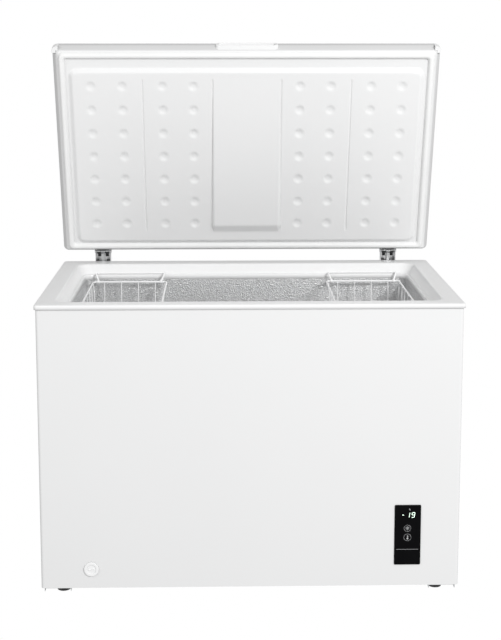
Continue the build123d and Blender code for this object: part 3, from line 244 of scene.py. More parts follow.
def boardGreen(name):
    look = {"trace": 160, "traceDeep": 0.0003, "bare": 0.62, "gloss": 0.35, "dull": 0.1}
    f = Finish(name)
    trace = f.cells(look["trace"], out="Color")
    grey = f.add("SeparateColor", {}, {0: trace})
    f.set(baseColor=f.tint(grey > look["bare"], (0.02, 0.16, 0.07), (0.05, 0.27, 0.12)),
          roughness=look["gloss"] + look["dull"] * grey)
    return f.bump(grey, 0.1, look["traceDeep"]).material


# a glowing finish: for the display's lit figures, and for the key prints, whose faint glow is painted light
def glowFinish(name, colour, strength):
    look = {"grain": 900, "gloss": 0.4, "dull": 0.1}
    f = Finish(name)
    grain = f.noise(look["grain"], 2, 0.5)
    f.set(baseColor=(*colour, 1), roughness=look["gloss"] + look["dull"] * grain, emissionColor=(*colour, 1),
          emissionStrength=strength)
    return f.material


finishes = {
    "shell_paint": enamel("whiteEnamel"),
    "collar_plastic": mouldedWhite("collarGloss", (0.775, 0.777, 0.778), (0.80, 0.801, 0.802), 0.24),
    "lid_plastic": mouldedWhite("formedLidSheet", (0.745, 0.747, 0.748), (0.770, 0.771, 0.772), 0.30),
    "trim_plastic": mouldedWhite("whiteTrim", (0.770, 0.772, 0.773), (0.80, 0.801, 0.802), 0.33, 0.06),
    "gasket_vinyl": softVinyl("gasketVinyl"),
    "stucco_aluminium": pebbledSheet("pebbledAluminium"),
    "coated_wire": dippedWire("dippedWire"),
    "zinc_steel": zincPlate("brightZinc"),
    "galvanised": spangledSheet("spangledZinc"),
    "foam": rigidFoam("rigidFoam"),
    "evaporator_tube": drawnTube("paleTube", (0.62, 0.62, 0.63), (0.74, 0.74, 0.75)),
    "condenser_tube": darkPlastic("blackTube"),
    "copper": drawnTube("copperTube", (0.42, 0.19, 0.10), (0.66, 0.34, 0.21)),
    "black_enamel": darkPlastic("blackEnamel", (0.012, 0.012, 0.013), (0.03, 0.03, 0.03), 0.22),
    "black_rubber": darkPlastic("blackRubber", (0.018, 0.018, 0.018), (0.04, 0.04, 0.04), 0.7),
    "black_plastic": darkPlastic("blackPlastic"),
    "display_black": blackGlass("displayGlass"),
    "board_green": boardGreen("boardGreen"),
    "grille_plastic": mouldedWhite("grilleWhite", (0.75, 0.755, 0.76), (0.79, 0.793, 0.796), 0.42, 0.08),
}
slotOf = {row["node"]: row["material_slot"] for row in frame["record"]["subparts"]}
for name, node in nodes.items():
    node.data.materials.clear()
    node.data.materials.append(finishes[slotOf[name]])
print("finishes:", len(finishes))


# Lid frame: origin on the back edge of its inner plane, y to the back edge, z to the outer face
hinge = {"pivot": Vector((0, 316.7, 825.6)) * mm, "open": 73.7, "behind": 6.7, "rise": 19.6}
lidTurn = Matrix.Rotation(-math.radians(hinge["open"]), 4, "X")
lidOffset = Matrix.Translation(Vector((0, -hinge["behind"], -hinge["rise"])) * mm)
lidPlace = Matrix.Translation(hinge["pivot"]) @ lidTurn @ lidOffset


# finish a bmesh as a piece that rides on a body
def piece(name, bm, body, material, stands=None, place=None, smooth=True, wall=0.0):
    bmesh.ops.remove_doubles(bm, verts=bm.verts, dist=1e-6)
    bmesh.ops.recalc_face_normals(bm, faces=bm.faces)
    if wall:
        bmesh.ops.solidify(bm, geom=bm.faces, thickness=wall * mm)
    if place is not None:
        bmesh.ops.transform(bm, matrix=place, verts=bm.verts)
    mesh = bpy.data.meshes.new(name)
    bm.to_mesh(mesh)
    bm.free()
    mesh.materials.append(material)
    made = bpy.data.objects.new(name, mesh)
    bpy.context.scene.collection.objects.link(made)
    if smooth:
        mesh.shade_smooth()
    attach(made, body)
    if stands:
        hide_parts(stands)
    return made


# one rounded rectangle of edges, from its left, front, right and back
def ring(bm, left, front, right, back, radius, height, steps):
    others = set(bm.faces)
    square = bmesh.ops.create_grid(bm, x_segments=1, y_segments=1, size=0.5)["verts"]
    bmesh.ops.scale(bm, vec=(right - left, back - front, 1), verts=square)
    bmesh.ops.translate(bm, vec=((left + right) / 2, (front + back) / 2, height), verts=square)
    bmesh.ops.bevel(bm, geom=square, offset=radius, offset_type="OFFSET", segments=steps, profile=0.5,
                    affect="VERTICES", material=-1)
    face = next(f for f in bm.faces if f not in others)
    edges = list(face.edges)
    bmesh.ops.delete(bm, geom=[face], context="FACES_ONLY")
    return edges


# rings in order, each joined to the next
def ringStack(stations, steps, closed, capped=()):
    bm = bmesh.new()
    # joined well apart, so that rings in one plane can't twist, and then set to their heights
    apart = 0.4
    rows = [ring(bm, *station[:5], apart * level, steps) for level, station in enumerate(stations)]
    loops = [{v for edge in row for v in edge.verts} for row in rows]
    pairs = list(zip(rows, rows[1:])) + ([(rows[-1], rows[0])] if closed else [])
    for first, second in pairs:
        bmesh.ops.bridge_loops(bm, edges=first + second)
    for loop, station in zip(loops, stations):
        for v in loop:
            v.co.z = station[5]
    for row in capped:
        bmesh.ops.edgeloop_fill(bm, edges=rows[row])
    return bm


# points of a rounded corner between two straight runs of a section
def arc(centre, radius, start, end, count):
    turns = [math.radians(start + (end - start) * i / count) for i in range(count + 1)]
    return [(centre[0] + radius * math.cos(t), centre[1] + radius * math.sin(t)) for t in turns]


# Collar round the tub's mouth: a flat ring with its width at the front, back and sides, a funnel down to a
# narrow ledge, and a lip into the tub
collar = {
    "rim": (-559, -342, 559, 310), "rimCorner": 10, "top": 796, "ring": (46, 56, 50), "funnel": 14,
    "drop": 28, "ledge": 8, "foot": ((-1.1, 2.2), (-0.2, 0.7), (0.9, 0)), "lip": 4, "lipDrop": 14, "lipRound": 2.5,
    "nose": 3.5, "edge": 7, "wall": 3, "skirt": 12, "skirtInside": 3.9, "skirtCorner": 2, "thick": 4,
    "corner": 34, "mouthEase": 2, "steps": 10,
}


def collarStations():
    c = collar
    left, front, right, back = c["rim"]
    stations = []

    # insets are measured from the rim's edge, or from the flat ring's inner edge
    def add(insets, height, radius):
        atFront, atBack, atSide = insets
        box = (left + atSide, front + atFront, right - atSide, back - atBack)
        stations.append([v * mm for v in (*box, radius, height)])

    def fromRim(out, height, radius):
        add([out] * 3, height, radius)

    def fromRing(out, height, radius):
        add([inset + out for inset in c["ring"]], height, radius)

    slope = math.degrees(math.atan2(c["drop"], c["funnel"]))
    top = c["top"]
    fromRim(0.0, top - c["skirt"], c["rimCorner"])
    for y, z in arc((c["nose"], top - c["nose"]), c["nose"], 180, 90, 6):
        fromRim(y, z, c["rimCorner"])
    bend = c["edge"]
    reach = bend * math.tan(math.radians(slope) / 2)
    for y, z in arc((-reach, top - bend), bend, 90, 90 - slope, 8):
        fromRing(y, z, c["corner"] + c["mouthEase"])
    low = top - c["drop"]
    for y, z in c["foot"]:
        fromRing(c["funnel"] + y, low + z, c["corner"])
    inner = c["funnel"] + c["ledge"]
    small = c["lipRound"]
    for y, z in arc((inner - small, low - small), small, 90, 15, 5):
        fromRing(y, z, c["corner"] - c["wall"])
    fromRing(inner + c["lip"], low - c["lipDrop"], c["corner"] - c["wall"])
    fromRing(inner + c["lip"] - c["wall"], low - c["lipDrop"], c["corner"])
    fromRing(inner - c["wall"], low - c["wall"], c["corner"])
    fromRing(c["funnel"] - c["wall"], low - c["wall"], c["corner"] + c["wall"])
    fromRing(-c["wall"], top - c["thick"], c["corner"] + c["wall"])
    fromRim(c["skirtInside"], top - c["thick"], c["skirtCorner"])
    fromRim(c["skirtInside"], top - c["skirt"], c["skirtCorner"])
    return stations


collarPiece = piece("collarMoulding", ringStack(collarStations(), collar["steps"], True), "cabinet",
                    finishes["collar_plastic"], "top_collar")
print("collar:", len(collarPiece.data.polygons), "faces")


# Lid liner: one formed sheet, its relief a height over the inner plane
liner = {
    "width": 1118, "depth": 652, "hem": 11.1, "wall": -2.2, "plug": 9.5, "front": 64, "back": 32, "side": 44,
    "bevel": 11, "corner": 25, "soften": 2.6, "dimpleR": 15, "dimpleDeep": 3.2, "dimpleFlat": 0.25,
    "dimpleSlope": 0.85, "dimpleReach": 1.15, "columns": (155, 244.5, 361, 451.5), "rows": 7, "pitch": 72.6,
    "first": 116, "grooveX": 302.8, "grooveHalf": 3.4, "grooveDeep": 2.4, "start": 92, "end": 580,
    "runOut": 12, "beyond": 6, "wedgeHalf": 97, "wedgeHigh": 11, "wedgeLow": 0.6, "wedgeBevel": 24, "sideEase": 0.25,
    "endEase": 0.18, "creaseOff": 3, "creaseHalf": 3.8, "creaseDeep": 3.0,
}
# spacing of its grid: how far fine lines reach from a feature, and their step
lines = {"coarse": 14, "least": 0.5, "dimple": (17, 2.8), "groove": (4, 1.0), "wedge": (14, 1.6),
         "wedgeOff": 6, "bevel": (11, 1.6), "bevelOff": 5, "wedgeEnd": (7, 1.8), "start": (6, 12, 2.0)}


# an S from 0 to 1
def eased(t):
    t = min(max(t, 0.0), 1.0)
    return t * t * (3 - 2 * t)


# a ramp from 0 to 1, straight between its ends and rounded over a share of its length at both
def softRamp(t, ease):
    t = min(max(t, -ease), 1 + ease)
    if t < ease:
        return (t + ease) ** 2 / (4 * ease)
    if t > 1 - ease:
        return 1 - (1 - t + ease) ** 2 / (4 * ease)
    return t


def linerRelief(x, y):
    s = liner
    halfWidth = s["width"] / 2 - s["side"]
    frontEdge = -s["depth"] + s["front"]
    midY, halfDepth = (frontEdge - s["back"]) / 2, (-s["back"] - frontEdge) / 2
    dx = abs(x) - halfWidth + s["corner"]
    dy = abs(y - midY) - halfDepth + s["corner"]
    away = math.hypot(max(dx, 0), max(dy, 0)) + min(max(dx, dy), 0) - s["corner"]
    ease = s["soften"] / s["bevel"]
    high = s["plug"] * softRamp(-away / s["bevel"], ease)
    along = y + s["depth"]
    span = min(max((along - s["start"]) / (s["end"] - s["wedgeBevel"] - s["start"]), 0), 1)
    wedge = s["wedgeHigh"] * span
    sideFall = abs(x) - s["wedgeHalf"]
    wedge = min(wedge, wedge * (1 - softRamp(sideFall / max(wedge, s["wedgeLow"]), s["sideEase"])))
    wedge *= 1 - softRamp((along - s["end"] + s["wedgeBevel"]) / s["wedgeBevel"], s["endEase"])
    high += wedge
    if s["start"] - s["beyond"] < along < s["end"] + s["beyond"]:
        ends = eased((along - s["start"]) / s["runOut"]) * eased((s["end"] - along) / s["runOut"])
        near = abs(abs(x) - s["grooveX"]) / s["grooveHalf"]
        high -= s["grooveDeep"] * ends * (1 - eased(near))
        # the groove at the foot of the raised panel
        rim = abs(abs(x) - s["wedgeHalf"] - wedge - s["creaseOff"]) / s["creaseHalf"]
        high -= s["creaseDeep"] * ends * (1 - eased(rim))
    row = round((along - s["first"]) / s["pitch"])
    if 0 <= row < s["rows"]:
        dy = along - s["first"] - row * s["pitch"]
        for column in s["columns"]:
            r = math.hypot(abs(x) - column, dy) / s["dimpleR"]
            if r < s["dimpleReach"]:
                high -= s["dimpleDeep"] * (1 - eased((r - s["dimpleFlat"]) / s["dimpleSlope"]))
    return high


# places of grid lines, close together where the relief changes
def gridLines(low, high, busy, coarse):
    places, at = [low], low
    while at < high:
        step = min([coarse] + [fine for start, end, fine in busy if start - fine <= at < end])
        ahead = [start - at for start, end, fine in busy if fine < step and start > at]
        at = min(at + max(min([step] + ahead), lines["least"]), high)
        places.append(at)
    return places


def linerSheet():
    s = liner
    half = s["width"] / 2 - s["hem"]

    def near(place, kind):
        reach, fine = lines[kind]
        return place - reach, place + reach, fine

    busyX, busyY = [], []
    for hand in (-1, 1):
        busyX += [near(hand * column, "dimple") for column in s["columns"]]
        busyX.append(near(hand * s["grooveX"], "groove"))
        busyX.append(near(hand * (s["wedgeHalf"] + lines["wedgeOff"]), "wedge"))
        busyX.append(near(hand * (s["width"] / 2 - s["side"] - lines["bevelOff"]), "bevel"))
    for row in range(s["rows"]):
        busyY.append(near(-s["depth"] + s["first"] + row * s["pitch"], "dimple"))
    for y in (-s["depth"] + s["front"] + lines["bevelOff"], -s["back"] - lines["bevelOff"]):
        busyY.append(near(y, "bevel"))
    reach, fine = lines["wedgeEnd"]
    wedgeEnd = -s["depth"] + s["end"]
    busyY.append((wedgeEnd - s["wedgeBevel"] - reach, wedgeEnd + reach, fine))
    before, after, fine = lines["start"]
    wedgeStart = -s["depth"] + s["start"]
    busyY.append((wedgeStart - before, wedgeStart + after, fine))
    xs = gridLines(-half, half, busyX, lines["coarse"])
    ys = gridLines(-s["depth"] + s["hem"], -s["hem"], busyY, lines["coarse"])
    bm = bmesh.new()
    bmesh.ops.create_grid(bm, x_segments=len(xs) - 1, y_segments=len(ys) - 1, size=0.5)
    for v in bm.verts:
        x = xs[round((v.co.x + 0.5) * (len(xs) - 1))]
        y = ys[round((v.co.y + 0.5) * (len(ys) - 1))]
        v.co = Vector((x, y, -linerRelief(x, y))) * mm
    return bm


linerPiece = piece("lidFormedLiner", linerSheet(), "lid", finishes["lid_plastic"], "lid_liner",
                   lidPlace, wall=liner["wall"])
print("lid liner:", len(linerPiece.data.polygons), "faces")


# Lid pan: painted sheet over the outer face, and a profile round the edge, open behind the handle, coloured grey as
# painted shade along the lid's edge
pan = {"width": 1118, "depth": 652, "thick": 44, "corner": 15, "least": 1.5, "edge": 14, "hem": 11,
       "slope": 16, "sheet": 0.8, "steps": 6, "cup": (162, 19), "cupZ": 15}


def lidRings(section):
    c = pan
    rows = []
    for inset, height in section:
        radius = max(c["corner"] - inset, c["least"])
        box = (inset - c["width"] / 2, inset - c["depth"], c["width"] / 2 - inset, -inset)
        rows.append([v * mm for v in (*box, radius, height)])
    return rows


def lidPan():
    c = pan
    outer = arc((c["edge"], c["thick"] - c["edge"]), c["edge"], 90, 180, 6)
    inner = arc((c["edge"], c["thick"] - c["edge"]), c["edge"] - c["sheet"], 180, 90, 6)
    return ringStack(lidRings(outer + inner), c["steps"], False, (0, -1))


def lidEdge():
    c = pan
    top, hem, slope = c["thick"] - c["edge"] - 0.2, c["hem"], c["slope"]
    outer = [(0.1, top), (0, top - 0.4), (0, slope + 1.5), (0.3, slope - 0.6), (hem * 0.30, slope * 0.66),
             (hem * 0.66, slope * 0.25), (hem - 1.6, 1.2), (hem - 0.4, 0.2), (hem, 0)]
    inner = [(inset + c["sheet"], height + (c["sheet"] if height < slope else 0))
             for inset, height in reversed(outer)]
    bm = ringStack(lidRings(outer + inner), c["steps"], True)
    # the hole behind the handle
    wide, high = (v * mm / 2 for v in c["cup"])
    middle = c["cupZ"] * mm
    near = (2 * c["edge"] - c["depth"]) * mm
    cuts = [((x, 0, 0), (1, 0, 0)) for x in (-wide, wide)]
    cuts += [((0, 0, z), (0, 0, 1)) for z in (middle - high, middle + high)]
    for spot, way in cuts:
        front = [f for f in bm.faces if f.calc_center_median().y < near]
        geom = front + list({e for f in front for e in f.edges}) + list({v for f in front for v in f.verts})
        bmesh.ops.bisect_plane(bm, geom=geom, plane_co=spot, plane_no=way, dist=1e-7)
    spots = [(f, f.calc_center_median()) for f in bm.faces]
    inside = [f for f, at in spots if abs(at.x) < wide and abs(at.z - middle) < high and at.y < near]
    bmesh.ops.delete(bm, geom=inside, context="FACES")
    return bm


# the profile's grey is painted shade along the lid's edge
edgeShadeGrey = mouldedWhite("edgeProfileShadeGrey", (0.555, 0.557, 0.558), (0.590, 0.591, 0.592), 0.36, 0.06)
piece("lidOuterPan", lidPan(), "lid", finishes["shell_paint"], "lid_pan", lidPlace)
piece("lidEdgeProfile", lidEdge(), "lid", edgeShadeGrey, None, lidPlace)


# the foam inside, cut back along the sloped edge and behind the handle's cup
foam = {"side": 2.2, "cup": 24, "corner": 3, "steps": 2}


def lidFoam():
    c = pan
    section = ((c["hem"] + 4, 4), (c["hem"] + 3, 6), (foam["side"], c["slope"] + 4),
               (foam["side"], c["thick"] - c["edge"]), (c["edge"] + 2, c["thick"] - 2))
    rows = []
    for inset, height in section:
        box = (inset - c["width"] / 2, inset + foam["cup"] - c["depth"], c["width"] / 2 - inset, -inset)
        rows.append([v * mm for v in (*box, foam["corner"], height)])
    return ringStack(rows, foam["steps"], False, (0, -1))


piece("lidFoamFill", lidFoam(), "lid", finishes["foam"], "lid_foam", lidPlace)
print("lid pan done")


# Handle: flange with a skirt into the pan and a drafted cup
handle = {"width": 180, "high": 28, "z": 15, "proud": 3, "edge": 1.8, "skirt": -11, "cup": (162, 19),
          "cupCorner": 7, "cupEdge": 1.5, "flange": 3, "deep": 22, "steps": 6,
          "draft": ((2.4, 0, 3), (4.4, 1, 1), (7.4, 2, 0.2))}


def lidHandle():
    c = handle
    rows = []

    def add(width, high, radius, height):
        rows.append([v * mm for v in (-width / 2, -high / 2, width / 2, high / 2, radius, height)])

    corner = c["cupCorner"] + c["flange"]
    add(c["width"], c["high"], corner, c["skirt"])
    for inset, height in arc((c["edge"], c["proud"] - c["edge"]), c["edge"], 180, 90, 5):
        add(c["width"] - 2 * inset, c["high"] - 2 * inset, corner - inset, height)
    cupWide, cupHigh = c["cup"]
    lip = c["cupEdge"]
    for inset, height in arc((-lip, c["proud"] - lip), lip, 90, 10, 5):
        add(cupWide - 2 * inset, cupHigh - 2 * inset, c["cupCorner"], height)
    # the cup narrows towards its floor
    for taper, sharper, above in c["draft"]:
        add(cupWide - taper, cupHigh - taper, c["cupCorner"] - sharper, above - c["deep"])
    return ringStack(rows, c["steps"], False, (-1,))


quarterTurn = Matrix.Rotation(math.radians(90), 4, "X")
handlePlace = lidPlace @ Matrix.Translation(Vector((0, -pan["depth"], handle["z"])) * mm) @ quarterTurn
piece("lidGrip", lidHandle(), "lid", finishes["trim_plastic"], "lid_handle", handlePlace)
print("handle done")


# Gasket: a rounded section swept round the lid
gasket = {"front": 17, "back": 11.5, "side": 17, "corner": 15, "tighten": 0.42, "steps": 8,
          "section": ((0, 0), (0.4, 1.3), (1.4, 3.4), (2.6, 6.0), (4.0, 8.2), (5.6, 9.3), (8.0, 9.65),
                      (11.0, 9.6), (13.0, 9.0), (15.0, 7.6), (16.6, 5.4), (17.8, 3.0), (18.6, 1.3), (19, 0))}


def gasketStations():
    g = gasket
    rows = []
    for out, deep in g["section"]:
        radius = g["corner"] - out * g["tighten"]
        side = pan["width"] / 2 - g["side"] - out
        box = (-side, g["front"] + out - pan["depth"], side, -g["back"] - out)
        rows.append([v * mm for v in (*box, radius, -deep)])
    return rows


gasketPiece = piece("lidSeal", ringStack(gasketStations(), gasket["steps"], True), "lid",
                    finishes["gasket_vinyl"], "lid_gasket", lidPlace)
print("gasket:", len(gasketPiece.data.polygons), "faces")


# Hinge dressing: black spacers on the pin beside the cam, two black pads at the channel's foot and a black lining
# that leaves the cam its slot, all black as painted shade in the hinge channel, and a wound spring
joint = {"x": 440, "gap": 6.6, "end": 18.2, "radius": 8.4, "bore": 3.6, "edge": 0.8, "steps": 40,
         "pad": (9.5, 2.6, 6.5), "shadePadAt": (16.5, 308.4, 796.2), "shadePadEdge": 0.7,
         "shadeLining": (9.2, 0.5, 17), "shadeLiningAt": (12, 322.9, 816.5)}
winding = {"low": 700.1, "high": 793.8, "radius": 4.5, "wire": 0.68, "turns": 26, "steps": 20, "sides": 8,
           "stroke": 6.7}


# black spacers on the pin: their black is painted shade in the hinge channel
def shadeSpacers(side):
    j = joint
    bm = bmesh.new()
    pivot = hinge["pivot"]
    near, far, round = j["gap"], j["end"], j["edge"]
    section = [(near, j["bore"]), (near, j["radius"] - round), (near + round, j["radius"]),
               (far - round, j["radius"]), (far, j["radius"] - round), (far, j["bore"])]
    for hand in (-1, 1):
        places = [((side * j["x"] + hand * x) * mm, pivot.y, pivot.z + r * mm) for x, r in section]
        verts = [bm.verts.new(place) for place in places]
        edges = [bm.edges.new(pair) for pair in zip(verts, verts[1:] + verts[:1])]
        bmesh.ops.spin(bm, geom=verts + edges, cent=pivot, axis=(1, 0, 0), angle=2 * math.pi,
                       steps=j["steps"], use_merge=True)
    return bm


# a block of a size in mm, its middle at a place in mm
def block(bm, size, middle):
    verts = bmesh.ops.create_cube(bm, size=1)["verts"]
    bmesh.ops.scale(bm, vec=Vector(size) * mm, verts=verts)
    bmesh.ops.translate(bm, vec=Vector(middle) * mm, verts=verts)
    return verts


# black pads at the channel's foot and a black lining at its top: painted shade in the hinge channel
def shadePads(side):
    j = joint
    bm = bmesh.new()
    x, y, z = j["shadePadAt"]
    for hand in (-1, 1):
        block(bm, j["pad"], (side * j["x"] + hand * x, y, z + j["pad"][2] / 2))
    bmesh.ops.bevel(bm, geom=bm.edges[:], offset=j["shadePadEdge"] * mm, offset_type="OFFSET", segments=3,
                    profile=0.5, affect="EDGES", material=-1)
    x, y, z = j["shadeLiningAt"]
    for hand in (-1, 1):
        block(bm, j["shadeLining"], (side * j["x"] + hand * x, y, z))
    return bm


def coil(side):
    w = winding
    bm = bmesh.new()
    foot = Vector((side * joint["x"] * mm, hinge["pivot"].y, (w["low"] + w["wire"]) * mm))
    ring = bmesh.ops.create_circle(bm, segments=w["sides"], radius=w["wire"] * mm)["verts"]
    bmesh.ops.rotate(bm, verts=ring, cent=(0, 0, 0), matrix=Matrix.Rotation(math.radians(90), 3, "X"))
    bmesh.ops.translate(bm, vec=foot + Vector((w["radius"] * mm, 0, 0)), verts=ring)
    count = w["turns"] * w["steps"]
    climb = (w["high"] - w["low"] - 2 * w["wire"]) * mm / count
    edges = list({e for v in ring for e in v.link_edges})
    last = bmesh.ops.spin(bm, geom=ring + edges, cent=foot, axis=(0, 0, 1), dvec=(0, 0, climb),
                          angle=2 * math.pi * w["turns"], steps=count)["geom_last"]
    for ends in (edges, [e for e in last if isinstance(e, bmesh.types.BMEdge)]):
        bmesh.ops.edgeloop_fill(bm, edges=ends)
    return bm


for side, hand in ((-1, "Left"), (1, "Right")):
    piece("hingeShadeSpacers" + hand, shadeSpacers(side), "lid", finishes["black_plastic"])
    piece("hingeShadePads" + hand, shadePads(side), "cabinet", finishes["black_plastic"])
    spring = piece("hingeCoil" + hand, coil(side), "cabinet", finishes["zinc_steel"],
                   "hinge_spring_" + hand.lower())
    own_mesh(spring)
print("hinges dressed")


# Drain cap: turned disc with a dished face and an S-shaped grip
drain = {"x": -421.3, "front": -338.1, "z": 82.7, "radius": 19.5, "edge": 1.8, "thick": 4.6, "dish": 12.4,
         "dishDeep": 1.5, "dishFoot": 1.8, "dishEdge": 1.2, "dishEdgeOff": 0.6, "stem": 10.9, "bore": 9.4,
         "stemEnd": -12, "floor": -2, "steps": 48, "turn": 32, "grip": 1.7, "gripWide": 1.4, "gripLong": 19,
         "gripBend": 4.2, "gripSunk": 0.15}


def drainCap():
    d = drain
    bm = bmesh.new()
    # profile in the XZ plane: x is the radius, z the way out of the cabinet
    dished = d["thick"] - d["dishDeep"]
    section = [(0, dished), (d["dish"] - d["dishFoot"], dished)]
    section += arc((d["dish"] + d["dishEdgeOff"], d["thick"] - d["dishEdge"]), d["dishEdge"], 200, 90, 5)
    section += arc((d["radius"] - d["edge"], d["thick"] - d["edge"]), d["edge"], 90, 0, 6)
    section += [(d["radius"], 0), (d["stem"], 0), (d["stem"], d["stemEnd"]), (d["bore"], d["stemEnd"]),
                (d["bore"], d["floor"]), (0, d["floor"])]
    verts = [bm.verts.new((r * mm, 0, z * mm)) for r, z in section]
    edges = [bm.edges.new(pair) for pair in zip(verts, verts[1:])]
    bmesh.ops.spin(bm, geom=verts + edges, cent=(0, 0, 0), axis=(0, 0, 1), angle=2 * math.pi,
                   steps=d["steps"], use_merge=True)
    bmesh.ops.remove_doubles(bm, verts=bm.verts, dist=1e-6)
    # the S: a bar bent one way and then the other
    grip = bmesh.ops.create_grid(bm, x_segments=24, y_segments=4, size=0.5)["verts"]
    for v in grip:
        run, across = v.co.x, v.co.y
        bend = d["gripBend"] * math.sin(run * 2 * math.pi)
        lift = d["dishDeep"] * (1 - (2 * abs(across)) ** 4) * (1 - (2 * abs(run)) ** 8)
        wide = across * 2 * d["grip"] * d["gripWide"]
        v.co = Vector((run * d["gripLong"], bend + wide, dished - d["gripSunk"] + lift)) * mm
    bmesh.ops.rotate(bm, verts=grip, cent=(0, 0, 0), matrix=Matrix.Rotation(math.radians(-d["turn"]), 3, "Z"))
    return bm


outward = Matrix.Translation(Vector((drain["x"], drain["front"], drain["z"])) * mm) @ quarterTurn
piece("drainScrewCap", drainCap(), "drain_cap", finishes["trim_plastic"], "drain_cap",
      outward)
print("drain cap done")


# Display: lit figures, and key prints with a faint painted glow, on the black panel, all a hair proud of it
panel = {"front": -340.2, "rise": 0.12, "figure": (417.2, 219.2, 7.2, 13.4), "gap": 9.4, "lean": 0.17,
         "bar": 1.5, "minus": (404.3, 225.8, 4.6, 1.6), "tick": (422.0, 241.0, 1.2, 5.2), "tickLean": -28,
         "keys": ((416.4, 189.2, 9.0), (416.8, 164.0, 9.5)), "keyLine": 0.45,
         "rule": (387.0, 446.4, 130.7, 0.55)}
litGreen = glowFinish("figureGlow", (0.72, 0.90, 0.76), 1.1)
# the key prints are grey print given a faint glow: painted light
printGreyPaintedGlow = glowFinish("keyPrintPaintedGlow", (0.46, 0.47, 0.48), 0.12)
segments = {"1": "bc", "9": "abcdfg"}


# a flat bar with bevelled ends, on the panel's face
def bar(bm, x, z, width, height, round=0.35):
    box = block(bm, (width, panel["rise"], height), (x, panel["front"] - panel["rise"] / 2, z))
    half = panel["rise"] * mm * 0.5
    outward = [e for v in box for e in v.link_edges if abs(e.verts[0].co.y - e.verts[1].co.y) > half]
    made = bmesh.ops.bevel(bm, geom=list(set(outward)), offset=min(width, height) * round * mm,
                           offset_type="OFFSET", segments=3, profile=0.5, affect="EDGES", material=-1)
    return [v for v in set(box) | set(made["verts"]) if v.is_valid]


# turn pieces of a print in the panel's plane
def spinPrint(bm, verts, x, z, degrees):
    bmesh.ops.rotate(bm, verts=verts, cent=Vector((x, panel["front"], z)) * mm,
                     matrix=Matrix.Rotation(math.radians(degrees), 3, "Y"))


def figures():
    bm = bmesh.new()
    x0, z0, w, h = panel["figure"]
    t = panel["bar"]
    spots = {"a": (w / 2, h, w, t), "d": (w / 2, 0, w, t), "g": (w / 2, h / 2, w, t),
             "b": (w, h * 0.75, t, h / 2), "c": (w, h * 0.25, t, h / 2), "f": (0, h * 0.75, t, h / 2)}
    verts = []
    for index, figure in enumerate("19"):
        shift = x0 + index * panel["gap"] - (w * 0.55 if figure == "1" else 0)
        for name in segments[figure]:
            x, z, wide, high = spots[name]
            wide *= 0.86 if wide > high else 1
            high *= 0.9 if high > wide else 1
            verts += bar(bm, shift + x, z0 + z, wide, high)
    lean = Matrix.Identity(4)
    lean[0][2] = panel["lean"]
    lean[0][3] = -panel["lean"] * z0 * mm
    bmesh.ops.transform(bm, matrix=lean, verts=list(set(verts)))
    bar(bm, *panel["minus"])
    return bm


def flatRing(bm, x, z, radius, width, steps=40):
    inner = bmesh.ops.create_circle(bm, segments=steps, radius=(radius - width / 2) * mm)["verts"]
    outer = bmesh.ops.create_circle(bm, segments=steps, radius=(radius + width / 2) * mm)["verts"]
    edges = list({e for v in inner + outer for e in v.link_edges})
    bmesh.ops.bridge_loops(bm, edges=edges)
    place = Matrix.Translation(Vector((x, panel["front"] - panel["rise"], z)) * mm) @ quarterTurn
    bmesh.ops.transform(bm, matrix=place, verts=inner + outer)


def keyPrints():
    bm = bmesh.new()
    for x, z, radius in panel["keys"]:
        flatRing(bm, x, z, radius, panel["keyLine"])
    # snowflake on the upper key: three crossed bars with short barbs
    x, z, radius = panel["keys"][0]
    for turn in (0, 60, 120):
        arm = bar(bm, x, z, 0.8, radius * 1.1)
        for end in (-1, 1):
            for lean in (-40, 40):
                barb = bar(bm, x, z + end * radius * 0.42, 0.6, 2.6)
                spinPrint(bm, barb, x, z + end * radius * 0.36, lean)
                arm += barb
        spinPrint(bm, arm, x, z, turn)
    # thermometer on the lower key
    x, z, radius = panel["keys"][1]
    bar(bm, x, z + 1.4, 1.5, 8.2, 0.45)
    flatRing(bm, x, z - 3.4, 1.2, 2.2, 20)
    for step in range(3):
        bar(bm, x + 2.3, z + 0.6 + step * 1.7, 1.5, 0.45)
    left, right, height, thick = panel["rule"]
    bar(bm, (left + right) / 2, height, right - left, thick)
    # small slanted mark above the figures
    tick = bar(bm, *panel["tick"])
    spinPrint(bm, tick, *panel["tick"][:2], panel["tickLean"])
    return bm


piece("displayFigures", figures(), "cabinet", litGreen, smooth=False)
piece("displayKeyPrints", keyPrints(), "cabinet", printGreyPaintedGlow, smooth=False)
print("display done")


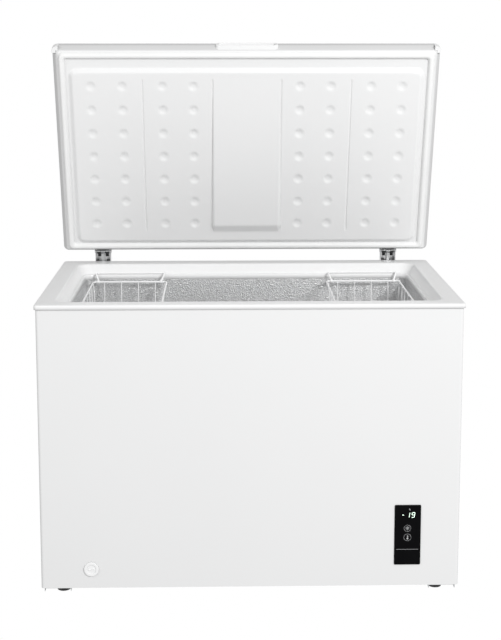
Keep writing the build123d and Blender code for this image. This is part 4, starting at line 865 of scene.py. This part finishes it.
# World, lights and camera: a white backdrop, soft light from all round, a key lamp from the upper right
stage = {"backdrop": 1.0, "soft": 0.62, "fromRight": 0.05, "fromFront": 0.10, "fromAbove": -0.065,
         "key": (2.3, -3.9, 3.0), "keyAim": (0, 0, 0.7), "keyPower": 152, "keySize": 1.0,
         "fill": (-2.8, -2.6, 2.4), "fillAim": (0, 0, 0.8), "fillPower": 26, "fillSize": 1.6}
world = bpy.data.worlds.new("studio")
bpy.context.scene.world = world
world.use_nodes = True
tree = world.node_tree
way = tree.nodes.new("ShaderNodeTexCoord")
lean = tree.nodes.new("ShaderNodeVectorMath")
lean.operation = "DOT_PRODUCT"
lean.inputs[1].default_value = (stage["fromRight"], -stage["fromFront"], stage["fromAbove"])
soft = tree.nodes.new("ShaderNodeMath")
soft.inputs[1].default_value = stage["soft"]
seen = tree.nodes.new("ShaderNodeLightPath")
level = tree.nodes.new("ShaderNodeMapRange")
level.inputs["To Max"].default_value = stage["backdrop"]
sky = tree.nodes["Background"]
sky.inputs["Color"].default_value = (1, 1, 1, 1)
tree.links.new(way.outputs["Generated"], lean.inputs[0])
tree.links.new(lean.outputs["Value"], soft.inputs[0])
tree.links.new(soft.outputs[0], level.inputs["To Min"])
tree.links.new(seen.outputs["Is Camera Ray"], level.inputs["Value"])
tree.links.new(level.outputs["Result"], sky.inputs["Strength"])


def lamp(name, spot, aim, power, size):
    data = bpy.data.lights.new(name, "AREA")
    data.energy = power
    data.shape = "DISK"
    data.size = size
    made = bpy.data.objects.new(name, data)
    bpy.context.scene.collection.objects.link(made)
    made.location = spot
    made.rotation_euler = (Vector(aim) - Vector(spot)).to_track_quat("-Z", "Y").to_euler()


for part in ("key", "fill"):
    lamp(part + "Lamp", stage[part], stage[part + "Aim"], stage[part + "Power"], stage[part + "Size"])
bpy.context.scene.view_settings.view_transform = "Standard"

view = {"spot": (-0.068667, -3.513594, 1.47638), "pitch": 0.13694, "yaw": 0.0217, "focal": 1255.61,
        "shiftY": -0.17, "long": 640, "sensor": 36}
camera = bpy.data.cameras.new("photoView")
camera.sensor_width = view["sensor"]
camera.lens = view["focal"] * view["sensor"] / view["long"]
camera.shift_y = view["shiftY"]
eye = bpy.data.objects.new("photoView", camera)
bpy.context.scene.collection.objects.link(eye)
eye.location = view["spot"]
eye.rotation_euler = (math.pi / 2 - view["pitch"], 0, -view["yaw"])
bpy.context.scene.camera = eye
